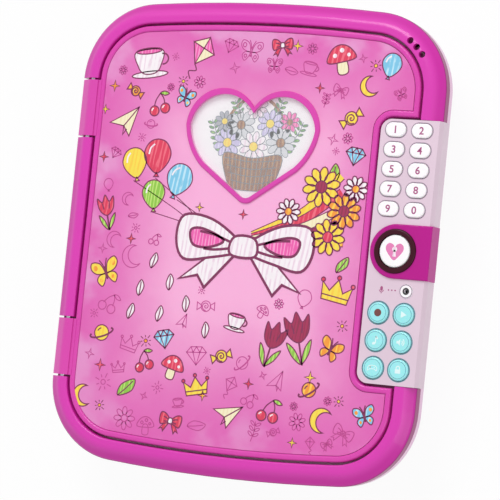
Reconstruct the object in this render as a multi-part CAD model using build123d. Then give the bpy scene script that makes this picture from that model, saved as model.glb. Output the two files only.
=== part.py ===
"""Electronic secret diary: a book-shaped case with a hinged printed lid, a code keypad beside it
and a motor latch inside. Millimetres. The diary lies on its back: +X towards the keypad, +Y up the
page, +Z out of the cover, with the origin under the middle of the cover outline.
"""

import math
import os

from build123d import *

# ---- case outline -----------------------------------------------------------------------------
CASE_WIDTH = 196.0
CASE_HEIGHT = 234.0
CASE_CORNER_RADIUS = 39.0
CASE_BOW_RADIUS = 816.0
RIGHT_SIDE = CASE_WIDTH / 2
TOP_END = CASE_HEIGHT / 2

# ---- heights of the layers ----------------------------------------------------------------------
SPLIT_HEIGHT = 31.0
RIM_TOP = SPLIT_HEIGHT + 9.0
CASE_WALL = 2.2
SHELL_STEP = 0.25
SHELL_STRAIGHT_LOW = SPLIT_HEIGHT - 4.5
SHELL_FOOT_INSET = 9.6
SHELL_FOOT_HEIGHT = 3.0
SHELL_BASE_INSET = 12.0

# ---- rim ----------------------------------------------------------------------------------------
RIM_WIDTH = 10.35
RIM_FLAT = 4.3
RIM_SLOPE_LOW = RIM_TOP - 3.6
RIM_EDGE_INSET = 0.9
RIM_EDGE_LOW = RIM_TOP - 4.6
RIM_TOP_BLEND = 5.0
RIM_INNER_BLEND = 1.0
RIM_ROOF = 2.4
RIM_SKIRT = 1.8

# ---- lid ----------------------------------------------------------------------------------------
LID_GAP = 1.3
LID_TOP = RIM_TOP - 0.2
LID_BOTTOM = SPLIT_HEIGHT + 0.6
LID_BEAD = 3.0
LID_BEAD_BLEND = 1.1
LID_WALL = 2.2
LID_WEB_TOP = LID_TOP - 2.6
LID_WEB = 1.8
PANEL_THICKNESS = 2.0
PANEL_CLEARANCE = 0.15
LINER_THICKNESS = 2.2
LINER_CLEARANCE = 0.2
LINER_SCREW_GRIP = 2.6

# ---- keypad bay ---------------------------------------------------------------------------------
BAY_LEFT = RIGHT_SIDE - 30.5
BAY_MIDDLE_Y = -0.55
BAY_HALF_HEIGHT = 64.05
BAY_CORNER = 5.5
FACEPLATE_TOP = RIM_TOP - 0.1
FACEPLATE_THICKNESS = 2.0
FACEPLATE_SEAM = 0.2
FACEPLATE_RIGHT = RIGHT_SIDE + 1.0
FACEPLATE_BEVEL_IN = 1.2
FACEPLATE_BEVEL_DOWN = 2.6
FACEPLATE_LIP = 1.0
FACEPLATE_SIDE_WALL = 1.6
FACEPLATE_END_WALL = 1.2
FACEPLATE_RIGHT_WALL = 3.6

# ---- hinge --------------------------------------------------------------------------------------
HINGE_X = 6.5 - RIGHT_SIDE
HINGE_Z = RIM_TOP - 3.0
KNUCKLE_NEAR = TOP_END - 71.2
KNUCKLE_FAR = TOP_END - 41.9
KNUCKLE_GAP = 1.0
KNUCKLE_REACH = 8.4
KNUCKLE_CLEARANCE = 0.4
LUG_LENGTH = 8.0
TROUGH_OVERLAP = 8.0
PIN_RADIUS = 1.25
PIN_SEAT_CLEARANCE = 0.02
PIN_RUN_CLEARANCE = 0.05
MOULD_LINE_WIDTH = 0.9
MOULD_LINE_DEPTH = 0.5

# ---- tray inside the case -----------------------------------------------------------------------
TRAY_WALL = 1.5
TRAY_FLOOR_TOP = 19.0
TRAY_FLANGE = 1.6
TRAY_EDGE_INSET = 2.9
TRAY_WELL_INSET = 12.25
WELL_RIGHT = BAY_LEFT - 7.0
POCKET_LEFT = WELL_RIGHT + 1.5
POCKET_TOP_Y = 49.0 - TOP_END
BAY_FRAME_LEFT = BAY_LEFT - 1.7
BAY_FRAME_MARGIN = 3.6
BAY_LEDGE_RIGHT = BAY_LEFT + 3.1
BAY_LEDGE_FAR = RIGHT_SIDE - 5.0
BOSS_RADIUS = 3.2
BOSS_MEET = 8.0
DOOR_BOSS_EXTRA = 0.6

# ---- screws -------------------------------------------------------------------------------------
SCREW_RADIUS = 1.2
SCREW_CLEARANCE = 0.05
SCREW_HEAD_RADIUS = 2.5
SCREW_HEAD = 1.6
SCREW_HEAD_POCKET = 2.8
LATCH_SCREW_GRIP = 6.0
CROSS_REACH = 1.6
CROSS_WIDTH = 0.6
CROSS_DEPTH = 0.6
SCREW_LEFT = 28.0 - RIGHT_SIDE
SCREW_HIGH = TOP_END - 30.0
CASE_SCREWS = [(SCREW_LEFT, SCREW_HIGH), (50.0, SCREW_HIGH), (SCREW_LEFT - 4, 0), (40.0, 0.0)]
CASE_SCREWS += [(SCREW_LEFT, -SCREW_HIGH), (50.0, -SCREW_HIGH)]
CASE_SCREW_LOW = 1.2
CASE_SCREW_TOP = 15.0
RIM_SCREW_INSET = 5.4
RIM_SCREW_X = 30.0
RIM_SCREW_TOP = RIM_TOP - 4.0
RIM_BOSS_RADIUS = 2.6

# ---- keys ---------------------------------------------------------------------------------------
KEY_TOP = FACEPLATE_TOP + 1.0
KEY_CLEARANCE = 0.25
KEY_FLANGE = 0.9
KEY_FLANGE_OUT = 0.8
KEY_STEM_LOW = FACEPLATE_TOP - 4.2
KEY_BLEND = 0.8
NUMBER_KEY_WIDTH = 10.4
NUMBER_KEY_DEPTH = 7.0
NUMBER_KEY_MIDDLE = RIGHT_SIDE - 15.38
NUMBER_KEY_HALF_PITCH = 6.68
NUMBER_KEY_TOP_Y = 57.75
NUMBER_KEY_PITCH = 9.505
NUMBER_KEYS = [["1", "2"], ["3", "4"], ["5", "6"], ["7", "8"], ["9", "0"]]
ROUND_KEY_RADIUS = 5.1
ROUND_KEY_MIDDLE = RIGHT_SIDE - 15.35
ROUND_KEY_HALF_PITCH = 6.5
ROUND_KEY_TOP_Y = -30.07
ROUND_KEY_PITCH = 13.16
ROUND_KEYS = [["record", "play"], ["music", "voice"], ["game", "lock"]]

# ---- unlock button and its tab --------------------------------------------------------------------
BUTTON_X = RIGHT_SIDE - 16.0
BUTTON_Y = -0.35
BUTTON_RADIUS = 7.9
BUTTON_TOP = FACEPLATE_TOP + 2.0
BUTTON_STEM_LOW = FACEPLATE_TOP - 3.5
BEZEL_RADIUS = 10.7
BEZEL_TOP = FACEPLATE_TOP + 2.3
TAB_RADIUS = 13.05
TAB_TOP = FACEPLATE_TOP + 1.3
TAB_RIGHT = FACEPLATE_RIGHT + 0.7
TAB_BLEND = 0.7

# ---- electronics ----------------------------------------------------------------------------------
BOARD_BOTTOM = FACEPLATE_TOP - 7.9
BOARD_THICKNESS = 1.6
BOARD_LEFT = BAY_LEFT + 3.7
BOARD_RIGHT = RIGHT_SIDE - 3.0
BOARD_HALF_LENGTH = BAY_HALF_HEIGHT - 3.25
BOARD_SCREW_GRIP = 5.0
MAT_THICKNESS = 0.5
MAT_DOME = 0.35
DOME_RADIUS = 2.6
BOARD_SCREWS = [(BOARD_LEFT + 2.2, 12.6), (BOARD_RIGHT - 4.7, 12.6), (BOARD_LEFT + 4.8, -19.4)]
BOARD_POST_RADIUS = 2.1
MAT_MARGIN_X = 3.6
MAT_MARGIN_Y = 2.6
SWITCH_HALF = 3.0
SWITCH_HEIGHT = 0.1
CHIP_HEIGHT = 1.2
CHIPS = [(BOARD_LEFT + 6.8, 38.0, 5.0), (BOARD_LEFT + 16.8, 22.0, 4.0)]
SOCKET = (BOARD_LEFT + 2.8, BOARD_LEFT + 8.8, -50.0, -36.0)
SOCKET_HEIGHT = 4.0
MIC_X = RIGHT_SIDE - 8.9
MIC_Y = -18.9
MIC_RING_RADIUS = 3.5
MIC_RING_PROUD = 0.3
MIC_HOLE_RADIUS = 0.9
MIC_RADIUS = 3.0
MIC_LENGTH = 3.0
SPEAKER_X = RIGHT_SIDE - 22.0
SPEAKER_Y = TOP_END - 32.0
SPEAKER_RADIUS = 13.0
SPEAKER_LOW = SPLIT_HEIGHT - 16.0
SPEAKER_BASKET = 4.0
SPEAKER_FLANGE = 1.0
SPEAKER_CLAMP_LAP = 1.5
SOUND_HOLES = [(RIGHT_SIDE - x, TOP_END - y) for x, y in ((19.4, 16.1), (15.9, 19.1), (12.8, 22.6))]
SOUND_HOLE_RADIUS = 1.65

# ---- batteries ------------------------------------------------------------------------------------
CELL_RADIUS = 7.25
CELL_BODY = 49.2
CELL_NUB = 1.3
CELL_NUB_RADIUS = 2.75
CELL_PITCH = 15.0
CELL_COUNT = 3
CELL_BOTTOM = 2.7
BATTERY_X = -20.0
BAY_WALL = 2.4
BAY_END = 28.5
DOOR_LOW = 0.4
DOOR_THICKNESS = 1.8
DOOR_CLEARANCE = 0.3
DOOR_PLAY = 0.1
DOOR_LEDGE = 1.2
DOOR_TAB_WIDTH = 14.0
DOOR_TAB = 9.0
DOOR_SCREW_LENGTH = 8.0
DOOR_SCREW_HEAD = 1.0
DOOR_SCREW_SINK = 0.2
CONTACT_THICKNESS = 0.4

# ---- latch ----------------------------------------------------------------------------------------
LATCH_TRAVEL = 3.2
CATCH_LEFT = BAY_LEFT - 5.3
CATCH_THICKNESS = 1.6
CATCH_HALF_WIDTH = 7.0
CATCH_LOW = SPLIT_HEIGHT - 9.0
CATCH_WINDOW_HALF = 4.5
CATCH_WINDOW_LOW = SPLIT_HEIGHT - 7.4
CATCH_WINDOW_HIGH = SPLIT_HEIGHT - 3.6
CATCH_FOOT = 6.0
BOLT_TIP = BAY_LEFT - 2.5
BOLT_HALF_WIDTH = 3.0
BOLT_LOW = SPLIT_HEIGHT - 7.0
BOLT_HIGH = SPLIT_HEIGHT - 4.0
SLIDE_LEFT = BAY_LEFT + 3.9
SLIDE_RIGHT = SLIDE_LEFT + 16.1
SLIDE_LOW = SPLIT_HEIGHT - 8.2
SLIDE_HIGH = SPLIT_HEIGHT - 3.4
SLIDE_BACK = 2.6
GUIDE_CLEARANCE = 0.2
LATCH_PLATE_LOW = SPLIT_HEIGHT - 10.0
LATCH_PLATE_TOP = SPLIT_HEIGHT - 8.4
LATCH_LEFT = BAY_LEFT - 1.3
LATCH_RIGHT = BAY_LEFT + 24.0
LATCH_FRONT = 7.0
LATCH_REAR = -17.0
LATCH_POSTS = [(LATCH_LEFT + x, y) for x in (2.8, 17.8) for y in (10.0, -20.0)]
LATCH_EAR = 3.4
GEAR_MODULE = 0.8
GEAR_TEETH = 10
GEAR_X = SLIDE_LEFT + 6.6
GEAR_THICKNESS = 3.0
GEAR_LOW = SPLIT_HEIGHT - 7.4
TOOTH_SHARE = 0.36
ADDENDUM = 0.7
DEDENDUM = 1.0
MOTOR_RADIUS = 6.0
MOTOR_LENGTH = 14.0
MOTOR_SHAFT_RADIUS = 1.0

# ---- heart window -----------------------------------------------------------------------------------
HEART_X = 0.3
HEART_OUTER = {
    "notch": (0, 64.8), "lobe": (18.0, 73.6), "side": (36.0, 55.0), "hip": (33.2, 44.6),
    "low": (25.6, 34.2), "toe": (3.0, 18.2), "tip": (0, 17.4),
}
HEART_INNER = {
    "notch": (0, 62.0), "lobe": (17.6, 70.6), "side": (33.8, 54.8), "hip": (31.2, 45.6),
    "low": (24.2, 36.2), "toe": (2.4, 20.6), "tip": (0, 20.0),
}
HEART_BEZEL_TOP = LID_WEB_TOP + 3.1
HEART_BEZEL_BLEND = 0.5
HEART_LENS_TOP = LID_WEB_TOP + 2.1
HEART_LENS = 0.8
PHOTO_CARD = 0.3

# ---- notepad ----------------------------------------------------------------------------------------
PAD_LEFT = 20.0 - RIGHT_SIDE
PAD_RIGHT = WELL_RIGHT - 4.5
PAD_HALF_HEIGHT = TOP_END - 28.0
PAD_CORNER = 5.0
PAD_BOARD = 0.8
PAD_PAGES = 8.4
PAD_COVER = 0.4
PAD_BINDING = 5.0
PAD_GAP = 0.2

# ---- wires ------------------------------------------------------------------------------------------
WIRE_RADIUS = 0.6
BATTERY_ROUTES = [
    [(6.0, 18, 9), (24, 19, 6.5), (46, 8, 5.5), (60, -14, 6), (70, -36, 9), (76, -42, 17), (76, -42, 28)],
    [(6.0, 14, 9), (22, 14, 6.5), (43, 5.5, 5.5), (57, -17, 6), (68, -40, 9), (76, -46, 17), (76, -46, 28)],
]
SPEAKER_ROUTES = [
    [(74, 73, 19.5), (73, 60, 17), (76, 46, 18), (78, 36, 22), (78, 31, 32)],
    [(78, 73, 19.5), (77, 60, 17), (80, 46, 18), (82, 36, 22), (82, 31, 32)],
]
MOTOR_ROUTES = [
    [(76, -13.9, 12), (75.5, -24, 11), (77, -32, 16), (78, -38.5, 22), (78, -38.5, 28)],
    [(80, -13.6, 12), (79.5, -23, 11), (80.2, -31, 16), (79.2, -37, 21.5), (79.2, -41, 28)],
]

# ---- sizes that follow from those above ---------------------------------------------------------------
LID_INSET = RIM_WIDTH + LID_GAP
BAY_HALF_GAP = LID_GAP / 2
FACEPLATE_LEFT = BAY_LEFT + BAY_HALF_GAP
FACEPLATE_HALF_HEIGHT = BAY_HALF_HEIGHT - BAY_HALF_GAP
FACEPLATE_UNDER = FACEPLATE_TOP - FACEPLATE_THICKNESS
PANEL_TOP = LID_WEB_TOP + PANEL_THICKNESS
FLANGE_LOW = SPLIT_HEIGHT - TRAY_FLANGE
BOARD_TOP = BOARD_BOTTOM + BOARD_THICKNESS
GEAR_RADIUS = GEAR_MODULE * GEAR_TEETH / 2
RACK_PITCH = math.pi * GEAR_MODULE
RACK_LINE = -SLIDE_BACK - DEDENDUM
GEAR_Y = BUTTON_Y + RACK_LINE - GEAR_RADIUS
DOOR_TOP = DOOR_LOW + DOOR_THICKNESS
BATTERY_HALF_WIDTH = CELL_PITCH * CELL_COUNT / 2 + 1.0


# ---- shared shapes ------------------------------------------------------------------------------------
def block(x_low, x_high, y_low, y_high, z_low, z_high):
    """A box between its six faces."""
    middle = ((x_low + x_high) / 2, (y_low + y_high) / 2, (z_low + z_high) / 2)
    return Pos(*middle) * Box(x_high - x_low, y_high - y_low, z_high - z_low)


def post(x, y, radius, z_low, z_high):
    """An upright cylinder between two heights."""
    return Pos(x, y, (z_low + z_high) / 2) * Cylinder(radius, z_high - z_low)


def rod_along_y(x, z, radius, y_low, y_high):
    """A cylinder along Y between two places."""
    return Pos(x, (y_low + y_high) / 2, z) * Rot(90, 0, 0) * Cylinder(radius, y_high - y_low)


def outline(inset, z=0.0):
    """The case outline drawn in by inset: straight sides, round corners and bowed ends."""
    side = CASE_WIDTH / 2 - inset
    end = CASE_HEIGHT / 2 - inset
    corner = CASE_CORNER_RADIUS - inset
    bow_middle = CASE_HEIGHT / 2 - CASE_BOW_RADIUS
    corner_x = CASE_WIDTH / 2 - CASE_CORNER_RADIUS
    corner_y = bow_middle + math.sqrt((CASE_BOW_RADIUS - CASE_CORNER_RADIUS) ** 2 - corner_x**2)
    meet = math.atan2(corner_y - bow_middle, corner_x)
    halfway = meet / 2
    meet_x = corner_x + corner * math.cos(meet)
    meet_y = corner_y + corner * math.sin(meet)
    bulge_x = corner_x + corner * math.cos(halfway)
    bulge_y = corner_y + corner * math.sin(halfway)
    edges = [Line((side, -corner_y), (side, corner_y))]
    edges.append(ThreePointArc((side, corner_y), (bulge_x, bulge_y), (meet_x, meet_y)))
    edges.append(ThreePointArc((meet_x, meet_y), (0, end), (-meet_x, meet_y)))
    edges.append(ThreePointArc((-meet_x, meet_y), (-bulge_x, bulge_y), (-side, corner_y)))
    edges.append(Line((-side, corner_y), (-side, -corner_y)))
    edges.append(ThreePointArc((-side, -corner_y), (-bulge_x, -bulge_y), (-meet_x, -meet_y)))
    edges.append(ThreePointArc((-meet_x, -meet_y), (0, -end), (meet_x, -meet_y)))
    edges.append(ThreePointArc((meet_x, -meet_y), (bulge_x, -bulge_y), (side, -corner_y)))
    return Pos(0, 0, z) * make_face(edges)


def slab(inset, z_low, z_high):
    """The outline as a plate between two heights."""
    return extrude(outline(inset, z_low), z_high - z_low)


def stacked(sections):
    """A body through the outline at several (height, inset) pairs."""
    return loft([outline(inset, z) for z, inset in sections], ruled=True)


def rounded_plate(x_low, x_high, y_low, y_high, radius, z_low, z_high):
    """A rectangle with round corners between two heights."""
    middle = ((x_low + x_high) / 2, (y_low + y_high) / 2, z_low)
    plan = RectangleRounded(x_high - x_low, y_high - y_low, radius)
    return extrude(Pos(*middle) * plan, z_high - z_low)


def screw(x, y, head_low, length, head_height=SCREW_HEAD):
    """A pan-head screw whose head is below its shank, as driven in from the back."""
    seat = head_low + head_height
    body = post(x, y, SCREW_HEAD_RADIUS, head_low, seat)
    body += post(x, y, SCREW_RADIUS, seat, head_low + length)
    long, thin = CROSS_REACH, CROSS_WIDTH / 2
    for half_x, half_y in ((long, thin), (thin, long)):
        body -= block(x - half_x, x + half_x, y - half_y, y + half_y, head_low, head_low + CROSS_DEPTH)
    return body


def screw_hole(x, y, z_low, z_high):
    """The bore that a screw's shank sits in."""
    return post(x, y, SCREW_RADIUS + SCREW_CLEARANCE, z_low, z_high)


def both_knuckles(make):
    """The same feature at the upper and the lower knuckle, from a function of (y_low, y_high)."""
    return make(KNUCKLE_NEAR, KNUCKLE_FAR) + make(-KNUCKLE_FAR, -KNUCKLE_NEAR)


def number_key_places():
    """Name, x and y of every number key."""
    places = []
    for row, pair in enumerate(NUMBER_KEYS):
        for column, digit in enumerate(pair):
            x = NUMBER_KEY_MIDDLE + (2 * column - 1) * NUMBER_KEY_HALF_PITCH
            y = NUMBER_KEY_TOP_Y - row * NUMBER_KEY_PITCH
            places.append((digit, x, y))
    return places


def round_key_places():
    """Name, x and y of every round function key."""
    places = []
    for row, pair in enumerate(ROUND_KEYS):
        for column, name in enumerate(pair):
            x = ROUND_KEY_MIDDLE + (2 * column - 1) * ROUND_KEY_HALF_PITCH
            y = ROUND_KEY_TOP_Y - row * ROUND_KEY_PITCH
            places.append((name, x, y))
    return places


# ---- case ---------------------------------------------------------------------------------------------
def rim_body(z_low):
    """The rim's whole outer form, solid, from a height below the split up to its flat top."""
    sections = [(z_low, 0.0), (RIM_EDGE_LOW, 0.0), (RIM_SLOPE_LOW, RIM_EDGE_INSET)]
    sections.append((RIM_TOP, RIM_WIDTH - RIM_FLAT))
    body = stacked(sections)
    top = body.faces().sort_by(Axis.Z)[-1]
    return fillet(top.edges(), RIM_TOP_BLEND)


def hinge_pocket(y_low, y_high):
    """The room that a knuckle turns in, with the gap at its two ends."""
    radius = KNUCKLE_REACH + KNUCKLE_CLEARANCE
    return rod_along_y(HINGE_X, HINGE_Z, radius, y_low - KNUCKLE_GAP / 2, y_high + KNUCKLE_GAP / 2)


def rim_cut(y_low, y_high):
    """What the rim leaves out at a knuckle."""
    left = -CASE_WIDTH / 2 - 1
    right = -CASE_WIDTH / 2 + RIM_WIDTH + 1
    gap = KNUCKLE_GAP / 2
    return block(left, right, y_low - gap, y_high + gap, SPLIT_HEIGHT - 1, RIM_TOP + 1)


def bay_space(margin, z_low, z_high):
    """The keypad bay's plan as a block that runs out past the right side."""
    y_low = BAY_MIDDLE_Y - FACEPLATE_HALF_HEIGHT - margin
    y_high = BAY_MIDDLE_Y + FACEPLATE_HALF_HEIGHT + margin
    left = FACEPLATE_LEFT - margin
    plan = rounded_plate(left, CASE_WIDTH, y_low, y_high, BAY_CORNER + margin, z_low, z_high)
    return plan


def hinge_lugs():
    """The blocks in the rim that carry the hinge pins at both ends of each knuckle."""
    left = -CASE_WIDTH / 2
    right = -CASE_WIDTH / 2 + RIM_WIDTH
    gap = KNUCKLE_GAP / 2
    lugs = []
    for sign in (1, -1):
        for near in (KNUCKLE_NEAR - gap - LUG_LENGTH, KNUCKLE_FAR + gap):
            ends = sorted((sign * near, sign * (near + LUG_LENGTH)))
            lugs.append(block(left, right, *ends, SPLIT_HEIGHT, RIM_TOP))
    return lugs[0] + lugs[1:]


def pin_places():
    """The y limits of the two hinge pins."""
    reach = KNUCKLE_GAP / 2 + LUG_LENGTH - 1.0
    low = KNUCKLE_NEAR - reach
    high = KNUCKLE_FAR + reach
    return [(low, high), (-high, -low)]


def rim_screw_places():
    """Screws up into the rim: two at each end of the case and one at each left corner."""
    bow_middle = CASE_HEIGHT / 2 - CASE_BOW_RADIUS
    end_y = bow_middle + math.sqrt((CASE_BOW_RADIUS - RIM_SCREW_INSET) ** 2 - RIM_SCREW_X**2)
    corner_x = CASE_WIDTH / 2 - CASE_CORNER_RADIUS
    corner_y = bow_middle + math.sqrt((CASE_BOW_RADIUS - CASE_CORNER_RADIUS) ** 2 - corner_x**2)
    reach = (CASE_CORNER_RADIUS - RIM_SCREW_INSET) / math.sqrt(2)
    upper = [(RIM_SCREW_X, end_y), (-RIM_SCREW_X, end_y), (-corner_x - reach, corner_y + reach)]
    return upper + [(x, -y) for x, y in upper]


def bay_frame():
    """The flat frame under the keypad that ties the rim's two halves together."""
    low = BAY_MIDDLE_Y - FACEPLATE_HALF_HEIGHT
    high = BAY_MIDDLE_Y + FACEPLATE_HALF_HEIGHT
    margin = BAY_FRAME_MARGIN
    frame = slab(TRAY_EDGE_INSET, FLANGE_LOW, SPLIT_HEIGHT)
    frame &= block(BAY_FRAME_LEFT, CASE_WIDTH, low - margin, high + margin, FLANGE_LOW, SPLIT_HEIGHT)
    inner_low, inner_high = BAY_MIDDLE_Y - BOARD_HALF_LENGTH, BAY_MIDDLE_Y + BOARD_HALF_LENGTH
    return frame - block(BAY_LEDGE_RIGHT, BAY_LEDGE_FAR, inner_low, inner_high, 0, RIM_TOP)


def hinge_troughs():
    """The scooped bridges under the knuckles that tie the rim together along the hinge."""
    left = -CASE_WIDTH / 2 + TRAY_EDGE_INSET
    right = -CASE_WIDTH / 2 + TRAY_WELL_INSET
    low = HINGE_Z - KNUCKLE_REACH - KNUCKLE_CLEARANCE - TRAY_WALL
    near, far = KNUCKLE_NEAR - TROUGH_OVERLAP, KNUCKLE_FAR + TROUGH_OVERLAP
    bridges = block(left, right, near, far, low, SPLIT_HEIGHT)
    bridges += block(left, right, -far, -near, low, SPLIT_HEIGHT)
    return bridges & slab(TRAY_EDGE_INSET, low, SPLIT_HEIGHT)


def make_upper_casing():
    """The glossy rim: roof, outer wall and inner skirt round the lid, open below."""
    body = rim_body(SPLIT_HEIGHT)
    ring = body - slab(RIM_WIDTH, SPLIT_HEIGHT - 1, RIM_TOP + 1)
    top = ring.faces().filter_by(Axis.Z).sort_by(Axis.Z)[-1]
    ring = fillet(top.inner_wires()[0].edges(), RIM_INNER_BLEND)
    channel = slab(CASE_WALL, SPLIT_HEIGHT - 1, RIM_EDGE_LOW - 0.6)
    channel += stacked(
        [(RIM_EDGE_LOW - 0.6, CASE_WALL), (RIM_TOP - RIM_ROOF, RIM_WIDTH - RIM_SKIRT - 1.6)]
    )
    channel -= slab(RIM_WIDTH - RIM_SKIRT, SPLIT_HEIGHT - 2, RIM_TOP)
    lugs = hinge_lugs() & (ring)
    casing = ring - channel + lugs
    for x, y in SOUND_HOLES:
        casing -= post(x, y, SOUND_HOLE_RADIUS, SPLIT_HEIGHT, RIM_TOP + 1)
    for x, y in rim_screw_places():
        casing += post(x, y, RIM_BOSS_RADIUS, SPLIT_HEIGHT, RIM_TOP - RIM_ROOF)
        casing -= screw_hole(x, y, SPLIT_HEIGHT - 1, RIM_SCREW_TOP + 0.5)
    casing -= both_knuckles(rim_cut)
    casing += hinge_troughs()
    casing -= both_knuckles(hinge_pocket)
    for y_low, y_high in pin_places():
        casing -= rod_along_y(HINGE_X, HINGE_Z, PIN_RADIUS + PIN_SEAT_CLEARANCE, y_low, y_high)
    bay_low = BAY_MIDDLE_Y - FACEPLATE_HALF_HEIGHT - FACEPLATE_SEAM
    bay_high = BAY_MIDDLE_Y + FACEPLATE_HALF_HEIGHT + FACEPLATE_SEAM
    casing -= block(BAY_LEFT, CASE_WIDTH, bay_low, bay_high, SPLIT_HEIGHT - 1, RIM_TOP + 1)
    return casing + bay_frame()


def battery_opening(margin):
    """Plan limits of the battery door's opening, grown by margin."""
    x_low = BATTERY_X - BATTERY_HALF_WIDTH - margin
    x_high = BATTERY_X + BATTERY_HALF_WIDTH + margin
    return x_low, x_high, -BAY_END - margin, BAY_END + margin


def door_screw_y():
    """Where the battery door's screw stands, past the end of the bay."""
    return -BAY_END - BAY_WALL - DOOR_TAB / 2


def make_back_shell():
    """The tapered pale back: floor, wall, battery bay, screw posts and latch posts."""
    sections = [(0.0, SHELL_BASE_INSET), (SHELL_FOOT_HEIGHT, SHELL_FOOT_INSET)]
    sections += [(SHELL_STRAIGHT_LOW, SHELL_STEP), (SPLIT_HEIGHT, SHELL_STEP)]
    inner = [(CASE_WALL, SHELL_BASE_INSET + CASE_WALL), (SHELL_FOOT_HEIGHT + 1, SHELL_FOOT_INSET + CASE_WALL)]
    inner += [(SHELL_STRAIGHT_LOW, SHELL_STEP + CASE_WALL), (SPLIT_HEIGHT + 1, SHELL_STEP + CASE_WALL)]
    shell = stacked(sections) - stacked(inner)
    x_low, x_high, y_low, y_high = battery_opening(BAY_WALL)
    screw_y = door_screw_y()
    shell += block(x_low, x_high, y_low, y_high, 1.0, TRAY_FLOOR_TOP - TRAY_WALL - 0.3)
    half_tab = DOOR_TAB_WIDTH / 2
    boss_top = DOOR_LOW + DOOR_SCREW_LENGTH + 3.0
    shell += post(BATTERY_X, screw_y, BOSS_RADIUS + DOOR_BOSS_EXTRA, 1.0, boss_top)
    shell += block(BATTERY_X - BOSS_RADIUS, BATTERY_X + BOSS_RADIUS, screw_y, -BAY_END, 1.0, boss_top)
    shell -= block(*battery_opening(0), 0.0, TRAY_FLOOR_TOP)
    recess = battery_opening(DOOR_LEDGE)
    shell -= block(*recess, -1.0, DOOR_TOP + DOOR_PLAY)
    tab_low = screw_y - DOOR_TAB / 2
    shell -= block(BATTERY_X - half_tab, BATTERY_X + half_tab, tab_low, 0, -1.0, DOOR_TOP + DOOR_PLAY)
    shell -= post(BATTERY_X, screw_y, SCREW_RADIUS + 0.1, 0, DOOR_LOW + DOOR_SCREW_LENGTH + 1.0)
    for x, y in CASE_SCREWS:
        shell += post(x, y, BOSS_RADIUS, 1.0, BOSS_MEET)
        shell -= post(x, y, SCREW_HEAD_POCKET, -1.0, SCREW_HEAD + 1.2)
        shell -= post(x, y, SCREW_RADIUS + SCREW_CLEARANCE, 0, BOSS_MEET + 1)
    for x, y in LATCH_POSTS:
        shell += post(x, y, LATCH_EAR, 1.0, LATCH_PLATE_LOW)
        shell -= post(x, y, SCREW_RADIUS + SCREW_CLEARANCE, LATCH_PLATE_LOW - 7, LATCH_PLATE_LOW + 1)
    shell -= both_knuckles(hinge_pocket)
    return shell


def tray_wells(inset, floor, top):
    """The notepad's well and the trinket pocket, each as a solid of its own inset."""
    wall = inset - TRAY_WELL_INSET
    whole = slab(inset, floor, top)
    well = whole & block(-CASE_WIDTH, WELL_RIGHT - wall, -CASE_HEIGHT, CASE_HEIGHT, floor, top)
    left = POCKET_LEFT + wall
    pocket = whole & block(left, CASE_WIDTH, -CASE_HEIGHT, POCKET_TOP_Y - wall, floor, top)
    return well, pocket


def catch_slot():
    """The slot in the tray's ledge that the lid's catch comes down through."""
    right = CATCH_LEFT + CATCH_THICKNESS + 1.3
    half = CATCH_HALF_WIDTH + 0.6
    return block(CATCH_LEFT - 0.6, right, BUTTON_Y - half, BUTTON_Y + half, 0, RIM_TOP)


def make_inner_tray():
    """The tray seen under the lid: notepad well, trinket pocket, deck and the flange they hang on."""
    tray = slab(TRAY_EDGE_INSET, FLANGE_LOW, SPLIT_HEIGHT)
    outer = tray_wells(TRAY_WELL_INSET, TRAY_FLOOR_TOP - TRAY_WALL, SPLIT_HEIGHT)
    inner = tray_wells(TRAY_WELL_INSET + TRAY_WALL, TRAY_FLOOR_TOP, SPLIT_HEIGHT + 1)
    tray += outer[0]
    tray += outer[1]
    tray -= inner[0]
    tray -= inner[1]
    tray -= hinge_troughs()
    tray -= both_knuckles(hinge_pocket)
    low = BAY_MIDDLE_Y - FACEPLATE_HALF_HEIGHT - BAY_FRAME_MARGIN
    high = BAY_MIDDLE_Y + FACEPLATE_HALF_HEIGHT + BAY_FRAME_MARGIN
    tray -= block(BAY_FRAME_LEFT, CASE_WIDTH, low, high, FLANGE_LOW - 1, SPLIT_HEIGHT + 1)
    tray -= catch_slot()
    for x, y in rim_screw_places():
        tray -= screw_hole(x, y, FLANGE_LOW - 1, SPLIT_HEIGHT + 1)
    for x, y in SOUND_HOLES:
        tray -= post(x, y, SOUND_HOLE_RADIUS + 0.4, FLANGE_LOW - 1, SPLIT_HEIGHT + 1)
    for x, y in CASE_SCREWS:
        tray += post(x, y, BOSS_RADIUS, BOSS_MEET, TRAY_FLOOR_TOP - TRAY_WALL)
        tray -= screw_hole(x, y, BOSS_MEET - 1, CASE_SCREW_TOP + 1)
    return tray


def make_case_screws():
    """The screws up through the back into the tray, and those up through the tray into the rim."""
    screws = [screw(x, y, CASE_SCREW_LOW, CASE_SCREW_TOP - CASE_SCREW_LOW) for x, y in CASE_SCREWS]
    head_low = FLANGE_LOW - SCREW_HEAD
    return screws + [screw(x, y, head_low, RIM_SCREW_TOP - head_low) for x, y in rim_screw_places()]


# ---- keypad ---------------------------------------------------------------------------------------------
def key_plan(name, margin):
    """A key's outline: an oval for a digit, a disc for a function."""
    if name.isdigit():
        width = NUMBER_KEY_WIDTH + 2 * margin
        depth = NUMBER_KEY_DEPTH + 2 * margin
        return RectangleRounded(width, depth, depth / 2 - 0.05)
    return Circle(ROUND_KEY_RADIUS + margin)


def key_flange(name, x, y, z_low, z_high):
    """The flange that stops a key under the faceplate; a digit's grows along X only."""
    if name.isdigit():
        width = NUMBER_KEY_WIDTH + 2 * KEY_FLANGE_OUT
        plan = RectangleRounded(width, NUMBER_KEY_DEPTH, NUMBER_KEY_DEPTH / 2 - 0.05)
        return extrude(Pos(x, y, z_low) * plan, z_high - z_low)
    return key_prism(name, x, y, KEY_FLANGE_OUT, z_low, z_high)


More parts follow.
